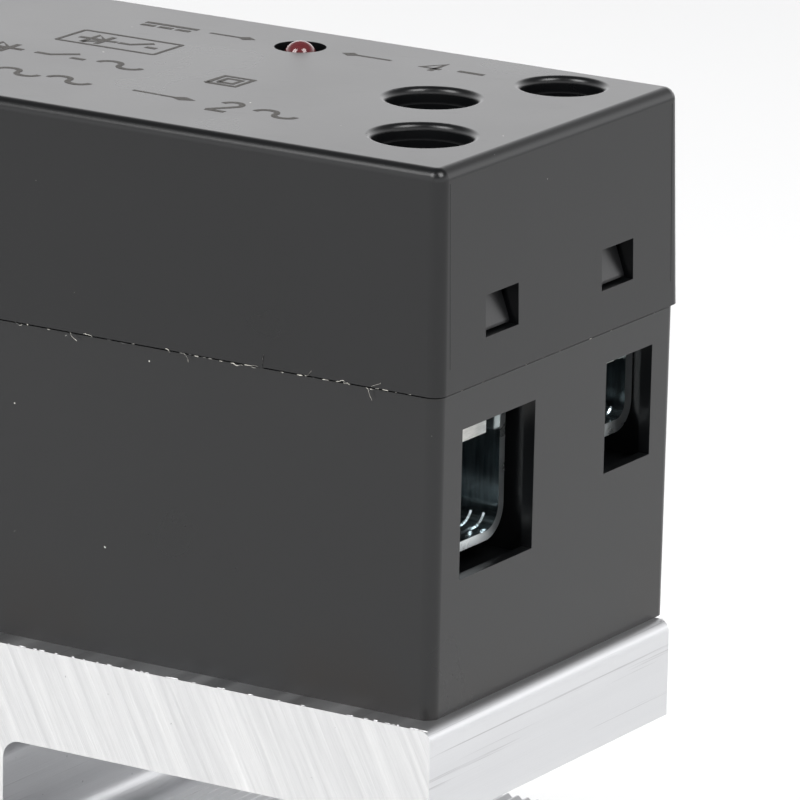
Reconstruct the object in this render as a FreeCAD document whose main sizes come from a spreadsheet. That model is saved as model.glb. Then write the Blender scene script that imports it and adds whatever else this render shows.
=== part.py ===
import FreeCAD, Part

import math
import os
import re

import Sketcher
from FreeCAD import Vector

# Solid state relay on a finned heat sink that clips to a 35 mm rail.
# Millimetres. +X is the end with terminals 2 and 4, +Z is up, and the origin is
# the centre of the whole relay's footprint at the underside of the heat sink.

DIMENSIONS = (
    ("housing_length", 110.0, "cover, at the seam"),
    ("housing_width", 40.0, "cover, at the seam"),
    ("base_height", 28.5, "heat sink's top to the seam"),
    ("cover_height", 19.45, "seam to the top face"),
    ("cover_draft", 0.42, "how far each side leans in from seam to top"),
    ("base_draft", 0.15, "how far each side leans in from seam to foot"),
    ("seam_step", 0.3, "how far the cover overhangs the base"),
    ("seam_gap", 0.2, "groove round the base's rim, under the cover"),
    ("seam_depth", 0.7, "groove round the base's rim, inwards"),
    ("corner_round", 1.2, "upright corners"),
    ("top_round", 1.07, "edge of the top face"),
    ("cover_wall", 1.6, "cover's side walls"),
    ("roof", 1.4, "cover's top wall"),
    ("end_wall", 1.15, "base's wall in front of the terminals"),
    ("side_wall", 2.4, "base's long walls"),
    ("rim_round", 0.6, "rounded mouths of the holes in the top"),
    ("guide_step", 0.3, "ledge below each hole in the top"),
    ("guide_wall", 1.0, "wall of the screwdriver guides"),
    ("screw_inset", 8.7, "terminal screw to the cover's end"),
    ("big_offset", -9.4, "large terminal screw from the centre line"),
    ("small_offset", 13.4, "small terminal screw from the centre line"),
    ("big_hole", 8.6, "screwdriver hole over a large terminal"),
    ("small_hole", 7.2, "screwdriver hole over a small terminal"),
    ("fixing_inset", 15.45, "fixing screw to the cover's end"),
    ("fixing_offset", 2.85, "fixing screw from the centre line"),
    ("fixing_hole", 7.9, "screwdriver hole over a fixing screw"),
    ("lamp_x", 19.6, "status lamp from the middle"),
    ("lamp_offset", 12.7, "status lamp from the centre line"),
    ("lamp_hole", 4.67, "hole around the status lamp"),
    ("lamp_diameter", 3.0, "lens of the status lamp"),
    ("lamp_proud", 0.55, "lens above the top face"),
    ("big_entry_left", -15.6, "large wire entry"),
    ("big_entry_right", -3.8, "large wire entry"),
    ("big_entry_low", 11.6, "above the heat sink"),
    ("big_entry_high", 24.85, "above the heat sink"),
    ("small_entry_left", 8.0, "small wire entry"),
    ("small_entry_right", 15.8, "small wire entry"),
    ("small_entry_low", 15.5, "above the heat sink"),
    ("small_entry_high", 25.5, "above the heat sink"),
    ("entry_margin", 0.8, "terminal chamber beyond its wire entry"),
    ("small_side", 2.5, "base's wall beside a small terminal"),
    ("window_width", 5.3, "latch window in the cover's end"),
    ("window_height", 3.65, "latch window in the cover's end"),
    ("window_low", 3.78, "latch window above the seam"),
    ("big_window", -9.93, "latch window from the centre line"),
    ("small_window", 9.1, "latch window from the centre line"),
    ("hook_thickness", 0.8, "snap hook's leg"),
    ("hook_gap", 0.25, "snap hook to the cover"),
    ("hook_root", 3.1, "snap hook below the seam"),
    ("chamber_half", 31.0, "half the electronics chamber's length"),
    ("big_bar_level", 21.8, "underside of the power bars above the heat sink"),
    ("small_bar_level", 23.5, "underside of the control bars above the heat sink"),
    ("bar_recess", 1.0, "terminal bar behind the cage's front"),
    ("cage_depth", 11.4, "width of the clamp strap, along the wire"),
    ("rest_gap", 0.3, "cage's top above the bar when fully open"),
    ("big_cage_width", 10.2, "large clamp cage"),
    ("big_cage_floor", 12.65, "large clamp cage above the heat sink, open"),
    ("big_strap", 0.85, "large clamp cage's strap"),
    ("big_bend", 2.0, "large clamp cage's bends, inside"),
    ("big_cage_top", 2.4, "large clamp cage's threaded top"),
    ("big_thread", 5.0, "large clamp screw"),
    ("big_head", 8.0, "large clamp screw's head"),
    ("big_head_level", 36.0, "underside of the head above the heat sink"),
    ("big_bar_width", 7.2, "power bar"),
    ("big_bar", 2.0, "power bar's thickness"),
    ("small_cage_width", 7.2, "small clamp cage"),
    ("small_cage_floor", 17.4, "small clamp cage above the heat sink, open"),
    ("small_strap", 1.15, "small clamp cage's strap"),
    ("small_bend", 1.4, "small clamp cage's bends, inside"),
    ("small_cage_top", 1.8, "small clamp cage's threaded top"),
    ("small_thread", 4.0, "small clamp screw"),
    ("small_head", 6.8, "small clamp screw's head"),
    ("small_head_level", 36.0, "underside of the head above the heat sink"),
    ("small_bar_width", 4.2, "control bar"),
    ("small_bar", 1.2, "control bar's thickness"),
    ("head_height", 3.6, "clamp screw's head"),
    ("screw_chamfer", 0.6, "clamp screw's tip"),
    ("recess_length", 0.64, "cross recess, as a share of the head"),
    ("recess_width", 0.14, "cross recess, as a share of the head"),
    ("thread_gap", 0.05, "running fit of screw in cage, per side"),
    ("pad_thickness", 0.3, "thermal pad"),
    ("plate_thickness", 3.0, "module's metal base plate"),
    ("plate_length", 92.0, "module's metal base plate"),
    ("plate_gap", 0.3, "around the base plate"),
    ("substrate_thickness", 1.0, "ceramic substrate"),
    ("substrate_length", 58.0, "ceramic substrate"),
    ("substrate_width", 30.0, "ceramic substrate"),
    ("land_margin", 1.0, "copper's edge to the substrate's, and half the gap between"),
    ("copper_thickness", 0.3, "copper on the substrate"),
    ("chip_side", 9.0, "thyristor chip"),
    ("chip_thickness", 0.6, "thyristor chip"),
    ("chip_x", 10.0, "thyristor chip from the middle"),
    ("chip_y", 4.0, "thyristor chip from the centre line"),
    ("leg_x", 27.0, "outer face of a power bar's leg from the middle"),
    ("leg_foot", 8.0, "power bar's soldered foot"),
    ("gel_depth", 5.7, "potting above the base plate"),
    ("board_thickness", 1.6, "control board"),
    ("board_length", 60.0, "control board"),
    ("board_low", -4.0, "control board's edge from the centre line"),
    ("board_high", 16.9, "control board's edge from the centre line"),
    ("board_lap", 8.0, "control bar under the board"),
    ("pin_diameter", 0.8, "gate pins"),
    ("opto_length", 6.5, "optocoupler"),
    ("opto_width", 8.8, "optocoupler"),
    ("opto_height", 3.4, "optocoupler"),
    ("opto_x", 0.0, "optocoupler from the middle"),
    ("opto_y", 6.4, "optocoupler from the centre line"),
    ("capacitor_length", 18.0, "snubber capacitor"),
    ("capacitor_width", 6.0, "snubber capacitor"),
    ("capacitor_height", 11.0, "snubber capacitor"),
    ("capacitor_x", -15.0, "snubber capacitor from the middle"),
    ("capacitor_y", 12.5, "snubber capacitor from the centre line"),
    ("transistor_length", 4.5, "driver transistor"),
    ("transistor_width", 3.6, "driver transistor"),
    ("transistor_height", 4.6, "driver transistor"),
    ("transistor_x", 10.2, "driver transistor from the middle"),
    ("transistor_y", 12.8, "driver transistor from the centre line"),
    ("varistor_diameter", 10.0, "varistor"),
    ("varistor_thickness", 3.6, "varistor"),
    ("varistor_x", -20.0, "varistor from the middle"),
    ("varistor_y", 1.5, "varistor from the centre line"),
    ("resistor_diameter", 2.3, "resistors"),
    ("resistor_length", 6.4, "resistors"),
    ("resistor_x", 10.0, "resistors' inner ends from the middle"),
    ("resistor_y", -1.0, "first resistor from the centre line"),
    ("resistor_pitch", 3.4, "resistors"),
    ("lamp_height", 5.3, "status lamp, collar to crown"),
    ("collar_width", 0.4, "status lamp's collar beyond the lens"),
    ("collar_height", 1.0, "status lamp's collar"),
    ("lead_pitch", 2.54, "status lamp's leads"),
    ("lead_diameter", 0.5, "status lamp's leads"),
    ("fixing_thread", 4.0, "fixing screw"),
    ("fixing_head", 7.0, "fixing screw's head"),
    ("fixing_head_height", 2.6, "fixing screw's head"),
    ("fixing_depth", 7.0, "fixing screw in the heat sink"),
    ("fixing_slot_length", 4.8, "slot in the fixing screw's head"),
    ("fixing_slot_width", 1.0, "slot in the fixing screw's head"),
    ("fixing_play", 0.2, "round the fixing screws in the plates"),
    ("washer_thickness", 0.9, "spring washer"),
    ("sink_height", 52.0, "heat sink"),
    ("sink_length", 112.0, "heat sink's plate, across the ribs"),
    ("sink_cut", 39.8, "sawn length of the extrusion"),
    ("sink_shift", 2.1, "heat sink towards -Y of the housing"),
    ("sink_plate", 8.72, "heat sink's top plate"),
    ("sink_edge_round", 1.0, "top edges at the plate's ends"),
    ("stem_half", 12.1, "half the heat sink's stem"),
    ("stem_round", 1.75, "corners between stem, plate and fins"),
    ("fin_drop", 19.2, "top of the upper fin below the plate's top"),
    ("fin_pitch", 11.8, "upper fin to lower fin"),
    ("fin_tip", 2.4, "fin's thickness at its tip"),
    ("fin_root", 3.6, "fin's thickness at the stem"),
    ("fin_reach", 54.0, "fin's tip from the middle"),
    ("rib_pitch", 1.05, "fine ribs along the fins' tops"),
    ("rib_depth", 0.35, "fine ribs along the fins' tops"),
    ("foot_half", 34.0, "half the heat sink's foot"),
    ("foot_height", 9.2, "heat sink's foot"),
    ("rail_width", 35.0, "mounting rail"),
    ("rail_gap", 1.4, "slot for the rail's edge"),
    ("rail_seat", 3.8, "face that rests on the rail, above the foot"),
    ("rail_play", 0.5, "rail's edge to the slot's end"),
    ("lip_reach", 2.5, "fixed lip under the rail's edge"),
    ("relief_half", 12.0, "half the relief over the rail's channel"),
    ("relief_top", 6.2, "relief over the rail's channel"),
    ("slide_gap", 0.3, "around the rail latch"),
    ("latch_width", 12.0, "rail latch"),
    ("latch_low", 1.2, "underside of the rail latch"),
    ("latch_high", 5.2, "top of the rail latch"),
    ("nose_high", 2.35, "top of the latch's nose"),
    ("nose_reach", 2.1, "latch's nose under the rail's edge"),
    ("latch_end", 38.5, "outer end of the rail latch"),
    ("pull_slot", 1.6, "slot to pull the latch by, and the wall beyond it"),
    ("window_from", 22.0, "spring window's inner end"),
    ("window_to", 32.8, "spring window's outer end"),
    ("window_half", 2.3, "half the spring window's width"),
    ("tab_from", 31.0, "retainer's tab, inner face"),
    ("tab_thickness", 1.0, "retainer's tab"),
    ("retainer_thickness", 0.9, "latch retainer"),
    ("retainer_from", 19.4, "latch retainer"),
    ("retainer_to", 33.2, "latch retainer"),
    ("retainer_half", 11.0, "half the retainer's width"),
    ("retainer_screw_y", 8.6, "retainer's screws from the middle"),
    ("retainer_screw", 2.5, "retainer's screws"),
    ("retainer_head", 4.4, "retainer's screws"),
    ("retainer_depth", 6.2, "retainer's screws in the foot"),
    ("spring_radius", 1.55, "latch spring, to the middle of its wire"),
    ("spring_wire", 0.5, "latch spring's wire"),
    ("spring_turns", 7.0, "latch spring"),
)

PLACES = (
    ("housing_y", "(sink_cut / 2 + sink_shift - housing_width / 2) / 2", "housing's centre line"),
    ("sink_y", "housing_y - sink_shift", "heat sink's centre line"),
    ("seam_z", "sink_height + base_height", "seam"),
    ("screw_x", "housing_length / 2 - screw_inset", "terminal screws"),
    ("fixing_x", "housing_length / 2 - fixing_inset", "fixing screws"),
    ("fixing_y", "housing_y + fixing_offset", "fixing screws"),
    ("cage_front", "screw_x + cage_depth / 2", "front of the clamp cages"),
    ("bar_end", "cage_front - bar_recess", "outer end of the terminal bars"),
    ("chamber_back", "screw_x - cage_depth / 2 - rest_gap", "back of the terminal chambers"),
    ("chamber_front", "housing_length / 2 - seam_step - end_wall", "front of the chambers"),
    ("module_half", "housing_width / 2 - seam_step - side_wall", "half the module's width"),
    ("plate_top", "pad_thickness + plate_thickness", "base plate above the heat sink"),
    ("copper_top", "plate_top + substrate_thickness + copper_thickness", "copper's top"),
    ("chip_top", "copper_top + chip_thickness", "thyristors' top"),
    ("board_floor", "small_bar_level + small_bar", "control board's underside"),
    ("board_top", "board_floor + board_thickness", "control board's top"),
    ("big_bar_top", "big_bar_level + big_bar", "power bars' top"),
    ("small_bar_top", "small_bar_level + small_bar", "control bars' top"),
    ("big_cage_inside", "big_bar_top + rest_gap", "underside of the threaded top"),
    ("small_cage_inside", "small_bar_top + rest_gap", "underside of the threaded top"),
    ("roof_under", "cover_height - roof", "roof's underside above the seam"),
    ("latch_tip", "rail_width / 2 - nose_reach", "latch's nose"),
    ("latch_body", "rail_width / 2 + rail_play + slide_gap", "latch's inner face"),
    ("groove_half", "rail_width / 2 + rail_play", "rail groove's ends"),
)

ALIASES = {name for name, _, _ in DIMENSIONS + PLACES}
ENDS = (("1", "3", -1), ("2", "4", 1))

doc = FreeCAD.newDocument("SolidStateRelay")
nodes = {}


# ---- sheet -------------------------------------------------------------------

def fill_sheet():
    """One row for each size, then one for each place worked out from them."""
    sheet = doc.addObject("Spreadsheet::Sheet", "Dims")
    for row, (name, value, note) in enumerate(DIMENSIONS + PLACES, start=1):
        text = f"={value}" if isinstance(value, str) else str(value)
        sheet.set(f"A{row}", text)
        sheet.setAlias(f"A{row}", name)
        sheet.set(f"B{row}", note)
    doc.recompute()
    return sheet


dims = fill_sheet()


def size(name):
    """A value of the sheet as a number."""
    return float(getattr(dims, name))


def linked(formula):
    """The formula with each alias written as a cell of the sheet."""
    def cell(match):
        word = match.group()
        return f"Dims.{word}" if word in ALIASES else word
    return re.sub(r"[A-Za-z_][A-Za-z_0-9]*", cell, str(formula))


def bind(thing, **formulas):
    for name, formula in formulas.items():
        thing.setExpression(name, linked(formula))


def place(thing, x=0, y=0, z=0):
    for axis, formula in zip("xyz", (x, y, z)):
        thing.setExpression(f"Placement.Base.{axis}", linked(formula))


def keep(thing, name):
    """Makes an object of the document a node of the part."""
    thing.Label = name
    nodes[name] = thing
    return thing


# ---- sketches ----------------------------------------------------------------

def new_body(name):
    return keep(doc.addObject("PartDesign::Body", name), name)


def origin_plane(body, role):
    return next(item for item in body.Origin.OriginFeatures if item.Role == role)


def new_sketch(body, name, role="XY_Plane", level=0):
    """A sketch on one of the body's own planes, moved along the plane's normal."""
    sketch = body.newObject("Sketcher::SketchObject", name)
    sketch.AttachmentSupport = [(origin_plane(body, role), "")]
    sketch.MapMode = "FlatFace"
    sketch.setExpression("AttachmentOffset.Base.z", linked(level))
    return sketch


def pin_point(sketch, line, end, across, up):
    """Holds one end of a line at a place given by two formulas."""
    for kind, formula in (("DistanceX", across), ("DistanceY", up)):
        index = sketch.addConstraint(Sketcher.Constraint(kind, -1, 1, line, end, 1.0))
        sketch.setExpression(f"Constraints[{index}]", linked(formula))


def add_polygon(sketch, corners):
    """A closed outline whose corners are pairs of formulas."""
    first = sketch.GeometryCount
    count = len(corners)
    spots = []
    for step in range(count):
        turn = 2 * math.pi * step / count
        spots.append(Vector(math.cos(turn), math.sin(turn), 0))
    for step in range(count):
        sketch.addGeometry(Part.LineSegment(spots[step], spots[(step + 1) % count]))
    for step in range(count):
        following = first + (step + 1) % count
        sketch.addConstraint(Sketcher.Constraint("Coincident", first + step, 2, following, 1))
    for step, (across, up) in enumerate(corners):
        pin_point(sketch, first + step, 1, across, up)


def add_rectangle(sketch, left, right, low, high):
    add_polygon(sketch, ((left, low), (right, low), (right, high), (left, high)))


def add_circle(sketch, across, up, radius):
    index = sketch.GeometryCount
    sketch.addGeometry(Part.Circle(Vector(0, 0, 0), Vector(0, 0, 1), 1.0))
    pin_point(sketch, index, 3, across, up)
    held = sketch.addConstraint(Sketcher.Constraint("Radius", index, 1.0))
    sketch.setExpression(f"Constraints[{held}]", linked(radius))


# ---- features ----------------------------------------------------------------

def extrude(body, kind, name, sketch, length, side="One side", backwards=False, taper=None):
    feature = body.newObject(f"PartDesign::{kind}", name)
    feature.Profile = sketch
    feature.SideType = side
    feature.Reversed = backwards
    bind(feature, Length=length)
    if taper is not None:
        bind(feature, TaperAngle=taper)
    doc.recompute()
    return feature


def pad(body, name, sketch, length, **options):
    return extrude(body, "Pad", name, sketch, length, **options)


def pocket(body, name, sketch, depth, **options):
    """A cut that has to take material away."""
    before = body.Shape.Volume
    feature = extrude(body, "Pocket", name, sketch, depth, **options)
    if not body.Shape.Volume < before - 1e-6:
        raise RuntimeError(f"{name} cuts nothing")
    return feature


def dress(body, kind, name, base, wanted, radius):
    """A fillet on the edges of the base feature that wanted() picks."""
    edges = []
    for number, edge in enumerate(base.Shape.Edges, start=1):
        if wanted(edge):
            edges.append(f"Edge{number}")
    if not edges:
        raise RuntimeError(f"{name} finds no edge")
    feature = body.newObject(f"PartDesign::{kind}", name)
    feature.Base = (base, edges)
    bind(feature, Radius=radius)
    doc.recompute()
    return feature


def mirror(body, name, originals):
    """Repeats features at the other end of the relay."""
    feature = body.newObject("PartDesign::Mirrored", name)
    feature.Originals = originals
    feature.MirrorPlane = (origin_plane(body, "YZ_Plane"), [""])
    body.Tip = feature
    doc.recompute()
    return feature


def middle(edge):
    return edge.CenterOfMass


def is_line(edge):
    return isinstance(edge.Curve, Part.Line)


def is_upright(edge):
    """Drafted corners lean a little, so an upright edge mostly gains height."""
    box = edge.BoundBox
    return box.ZLength > 10 * max(box.XLength, box.YLength)


def runs_along(edge, axis):
    box = edge.BoundBox
    lengths = {"X": box.XLength, "Y": box.YLength, "Z": box.ZLength}
    own = lengths.pop(axis)
    return is_line(edge) and own > 1e-6 and max(lengths.values()) < 1e-6


# ---- plain solids ------------------------------------------------------------

def block(name, x, y, z):
    """A box between two formulas along each axis."""
    solid = doc.addObject("Part::Box", name)
    for side, (low, high) in zip(("Length", "Width", "Height"), (x, y, z)):
        solid.setExpression(side, linked(f"({high}) - ({low})"))
    place(solid, x[0], y[0], z[0])
    return solid


def rod(name, radius, x, y, low, high):
    solid = doc.addObject("Part::Cylinder", name)
    bind(solid, Radius=radius, Height=f"({high}) - ({low})")
    place(solid, x, y, low)
    return solid


def fuse(name, *solids):
    whole = doc.addObject("Part::MultiFuse", name)
    whole.Shapes = list(solids)
    return whole


def cut(name, base, tool):
    rest = doc.addObject("Part::Cut", name)
    rest.Base = base
    rest.Tool = tool
    return rest


def group(name, *solids):
    """Several like pieces kept as one node."""
    together = doc.addObject("Part::Compound", name)
    together.Links = list(solids)
    return keep(together, name)


# ---- housing -----------------------------------------------------------------

def terminal_holes():
    """Place and diameter of the three holes over each end."""
    return (
        ("screw_x", "big_offset", "big_hole"),
        ("fixing_x", "fixing_offset", "fixing_hole"),
        ("screw_x", "small_offset", "small_hole"),
    )


def cover_shell(body):
    outline = new_sketch(body, "CoverOutline")
    add_rectangle(outline, "-housing_length / 2", "housing_length / 2",
                  "-housing_width / 2", "housing_width / 2")
    shell = pad(body, "CoverShell", outline, "cover_height",
                taper="-atan(cover_draft / cover_height)")
    corners = dress(body, "Fillet", "CoverCorners", shell, is_upright, "corner_round")
    top = size("cover_height")
    edge = dress(body, "Fillet", "CoverEdge", corners,
                 lambda item: item.BoundBox.ZMin > top - 1e-6, "top_round")
    hollow = new_sketch(body, "CoverHollow")
    add_rectangle(hollow, "-housing_length / 2 + cover_wall", "housing_length / 2 - cover_wall",
                  "-housing_width / 2 + cover_wall", "housing_width / 2 - cover_wall")
    pocket(body, "CoverInside", hollow, "roof_under", backwards=True)
    return edge


def cover_guides(body):
    """Tubes that lead a screwdriver down to the screws."""
    under_roof = "roof_under + base_height - head_height - 2 * rest_gap"
    lengths = (f"{under_roof} - big_head_level", "roof_under - rest_gap",
               f"{under_roof} - small_head_level")
    made = []
    for number, ((x, y, hole), length) in enumerate(zip(terminal_holes(), lengths)):
        sketch = new_sketch(body, f"GuideRing{number}", level="roof_under")
        add_circle(sketch, x, y, f"{hole} / 2 - guide_step + guide_wall")
        add_circle(sketch, x, y, f"{hole} / 2 - guide_step")
        made.append(pad(body, f"Guide{number}", sketch, length, backwards=True))
    return made


def cover_holes(body):
    sketch = new_sketch(body, "TopHoles", level="cover_height")
    for x, y, hole in terminal_holes():
        add_circle(sketch, x, y, f"{hole} / 2")
    return pocket(body, "TopHolesCut", sketch, "roof")


def cover_windows(body):
    sketch = new_sketch(body, "Windows", role="YZ_Plane", level="housing_length / 2")
    for offset in ("big_window", "small_window"):
        add_rectangle(sketch, f"{offset} - window_width / 2", f"{offset} + window_width / 2",
                      "window_low", "window_low + window_height")
    return pocket(body, "WindowsCut", sketch, "2 * cover_wall")


def make_cover():
    """Upper half of the housing: a drafted shell open below."""
    body = new_body("cover")
    cover_shell(body)
    ends = cover_guides(body)
    ends.append(cover_holes(body))
    ends.append(cover_windows(body))
    mirror(body, "CoverOtherEnd", ends)
    lamp = new_sketch(body, "LampHole", level="cover_height")
    add_circle(lamp, "lamp_x", "lamp_offset", "lamp_hole / 2")
    drilled = pocket(body, "LampHoleCut", lamp, "roof")
    top = size("cover_height")
    smallest = size("lamp_hole") / 2 + 0.1

    def is_rim(edge):
        return (isinstance(edge.Curve, Part.Circle) and edge.BoundBox.ZMin > top - 1e-6
                and edge.Curve.Radius > smallest)
    dress(body, "Fillet", "Rims", drilled, is_rim, "rim_round")
    place(body, 0, "housing_y", "seam_z")


def base_shell(body):
    outline = new_sketch(body, "BaseOutline")
    inset = "seam_step + base_draft"
    add_rectangle(outline, f"-housing_length / 2 + {inset}", f"housing_length / 2 - ({inset})",
                  f"-housing_width / 2 + {inset}", f"housing_width / 2 - ({inset})")
    shell = pad(body, "BaseShell", outline, "base_height", taper="atan(base_draft / base_height)")
    dress(body, "Fillet", "BaseCorners", shell, is_upright, "corner_round")
    chamber = new_sketch(body, "Chamber", level="base_height")
    add_rectangle(chamber, "-chamber_half", "chamber_half", "-module_half", "module_half")
    pocket(body, "ChamberCut", chamber, "base_height")
    for kind, low, high in (("big", "-module_half", "board_low - 1"),
                            ("small", "board_low - 1", "module_half")):
        shelf = new_sketch(body, f"{kind.title()}Shelf", level="base_height")
        add_rectangle(shelf, "-chamber_back", "chamber_back", low, high)
        pocket(body, f"{kind.title()}ShelfCut", shelf, f"base_height - {kind}_bar_level")
    seam = new_sketch(body, "SeamGroove", level="base_height")
    for edge in ("0", "seam_step + base_draft + seam_depth"):
        add_rectangle(seam, f"-housing_length / 2 + {edge}", f"housing_length / 2 - ({edge})",
                      f"-housing_width / 2 + {edge}", f"housing_width / 2 - ({edge})")
    pocket(body, "SeamGrooveCut", seam, "seam_gap")
    recess = new_sketch(body, "PlateRecess", level="plate_top")
    add_rectangle(recess, "-plate_length / 2 - plate_gap", "plate_length / 2 + plate_gap",
                  "-module_half", "module_half")
    pocket(body, "PlateRecessCut", recess, "plate_top")


def base_wells(body):
    """Shafts down to the fixing screws, each in a boss that rises to the seam."""
    boss = new_sketch(body, "WellBoss", level="plate_top")
    add_circle(boss, "fixing_x", "fixing_offset", "fixing_hole / 2 + guide_wall")
    raised = pad(body, "WellBossPad", boss, "base_height - plate_top")
    well = new_sketch(body, "Well", level="base_height")
    add_circle(well, "fixing_x", "fixing_offset", "fixing_hole / 2")
    return [raised, pocket(body, "WellCut", well, "base_height")]


def base_chambers(body):
    """Room for the clamp cages, wider than the wire entries in front of them."""
    made = []
    rooms = (
        ("Big", "chamber_back", "big_entry_left - entry_margin", "big_entry_right + entry_margin",
         "big_entry_low - entry_margin"),
        ("Small", "chamber_back", "fixing_offset + fixing_hole / 2 + 2 * guide_wall",
         "housing_width / 2 - seam_step - small_side", "small_entry_low - entry_margin"),
        ("SmallFront", "fixing_x + fixing_hole / 2 + guide_wall",
         "small_entry_left - entry_margin / 2", "housing_width / 2 - seam_step - small_side",
         "small_entry_low - entry_margin"),
    )
    for name, back, left, right, floor in rooms:
        sketch = new_sketch(body, f"{name}Room", level="base_height")
        add_rectangle(sketch, back, "chamber_front", left, right)
        made.append(pocket(body, f"{name}RoomCut", sketch, f"base_height - ({floor})"))
    return made


def base_entries(body):
    sketch = new_sketch(body, "Entries", role="YZ_Plane", level="housing_length / 2")
    for kind in ("big", "small"):
        add_rectangle(sketch, f"{kind}_entry_left", f"{kind}_entry_right",
                      f"{kind}_entry_low", f"{kind}_entry_high")
    return pocket(body, "EntriesCut", sketch, "seam_step + 2 * end_wall")


def base_hooks(body):
    """Snap hooks that stand above the seam and catch in the cover's windows."""
    made = []
    outer = "housing_length / 2 - cover_wall - hook_gap"
    inner = f"{outer} - hook_thickness"
    catch = "base_height + window_low + hook_gap"
    barb = "housing_length / 2 - cover_wall / 2"
    for kind in ("big", "small"):
        sketch = new_sketch(body, f"{kind.title()}Hook", "XZ_Plane", f"-{kind}_window")
        add_polygon(sketch, (
            (inner, "base_height - hook_root"),
            ("chamber_front + end_wall / 2", "base_height - hook_root"),
            ("chamber_front + end_wall / 2", "base_height"),
            (outer, "base_height"),
            (outer, catch),
            (barb, catch),
            (barb, f"{catch} + hook_gap"),
            (outer, "base_height + window_low + window_height - hook_gap"),
            (inner, "base_height + window_low + window_height - hook_gap"),
        ))
        made.append(pad(body, f"{kind.title()}HookPad", sketch, "window_width - 3 * hook_gap",
                        side="Symmetric"))
    return made


def make_base_housing():
    """Lower half of the housing, with a terminal block at each end."""
    body = new_body("base_housing")
    base_shell(body)
    ends = base_wells(body)
    ends.extend(base_chambers(body))
    ends.append(base_entries(body))
    ends.extend(base_hooks(body))
    mirror(body, "BaseOtherEnd", ends)
    place(body, 0, "housing_y", "sink_height")


# ---- heat sink ---------------------------------------------------------------

def fin_corners(side, level):
    """Four corners of one fin, from the stem out to the tip and back."""
    top = f"sink_height - fin_drop - {level} * fin_pitch"
    corners = [
        (f"{side} * stem_half", top),
        (f"{side} * fin_reach", top),
        (f"{side} * fin_reach", f"{top} - fin_tip"),
        (f"{side} * stem_half", f"{top} - fin_root"),
    ]
    return corners if side > 0 else corners[::-1]


def sink_outline():
    """The extrusion's outline, clockwise from the plate's top left corner."""
    half = "sink_length / 2"
    under = "sink_height - sink_plate"
    right = [(f"-{half}", "sink_height"), (half, "sink_height"), (half, under), ("stem_half", under)]
    for level in (0, 1):
        right.extend(fin_corners(1, level))
    right.extend([("stem_half", "foot_height"), ("foot_half", "foot_height"), ("foot_half", "0")])
    groove = [
        ("groove_half", "0"),
        ("groove_half", "rail_seat"),
        ("relief_half", "rail_seat"),
        ("relief_half", "relief_top"),
        ("-relief_half", "relief_top"),
        ("-relief_half", "rail_seat"),
        ("-groove_half", "rail_seat"),
        ("-groove_half", "rail_seat - rail_gap"),
        ("-groove_half + lip_reach", "rail_seat - rail_gap"),
        ("-groove_half + lip_reach", "0"),
    ]
    left = [("-foot_half", "0"), ("-foot_half", "foot_height"), ("-stem_half", "foot_height")]
    for level in (1, 0):
        left.extend(fin_corners(-1, level))
    left.extend([("-stem_half", under), (f"-{half}", under)])
    return right + groove + left


def rib_grooves(sketch):
    """Notches along the fins' tops, at an even pitch from the stem to the tip."""
    start = size("stem_half") + 2 * size("stem_round")
    pitch = size("rib_pitch")
    count = int((size("fin_reach") - start) / pitch)
    depth = size("rib_depth")
    half = 0.42 * pitch
    for level in (0, 1):
        top = size("sink_height") - size("fin_drop") - level * size("fin_pitch")
        for side in (-1, 1):
            for step in range(count):
                across = side * (start + (step + 0.5) * pitch)
                corners = (
                    Vector(across - half, top, 0),
                    Vector(across, top - depth, 0),
                    Vector(across + half, top, 0),
                )
                for first, second in zip(corners, corners[1:] + corners[:1]):
                    sketch.addGeometry(Part.LineSegment(first, second))


def latch_ways(body):
    """Room in the foot for the rail latch and its retainer."""
    slot = new_sketch(body, "LatchSlot")
    half = "latch_width / 2 + slide_gap"
    add_rectangle(slot, "groove_half - slide_gap", "foot_half + slide_gap", f"-({half})", half)
    pocket(body, "LatchSlotCut", slot, "latch_high + slide_gap", backwards=True)
    recess = new_sketch(body, "RetainerRecess")
    add_rectangle(recess, "retainer_from", "retainer_to", "-retainer_half", "retainer_half")
    pocket(body, "RetainerRecessCut", recess, "retainer_thickness", backwards=True)
    holes = new_sketch(body, "RetainerHoles")
    for side in ("-", ""):
        add_circle(holes, "(retainer_from + retainer_to) / 2", f"{side}retainer_screw_y",
                   "retainer_screw / 2")
    pocket(body, "RetainerHolesCut", holes, "retainer_depth + 1", backwards=True)


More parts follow.
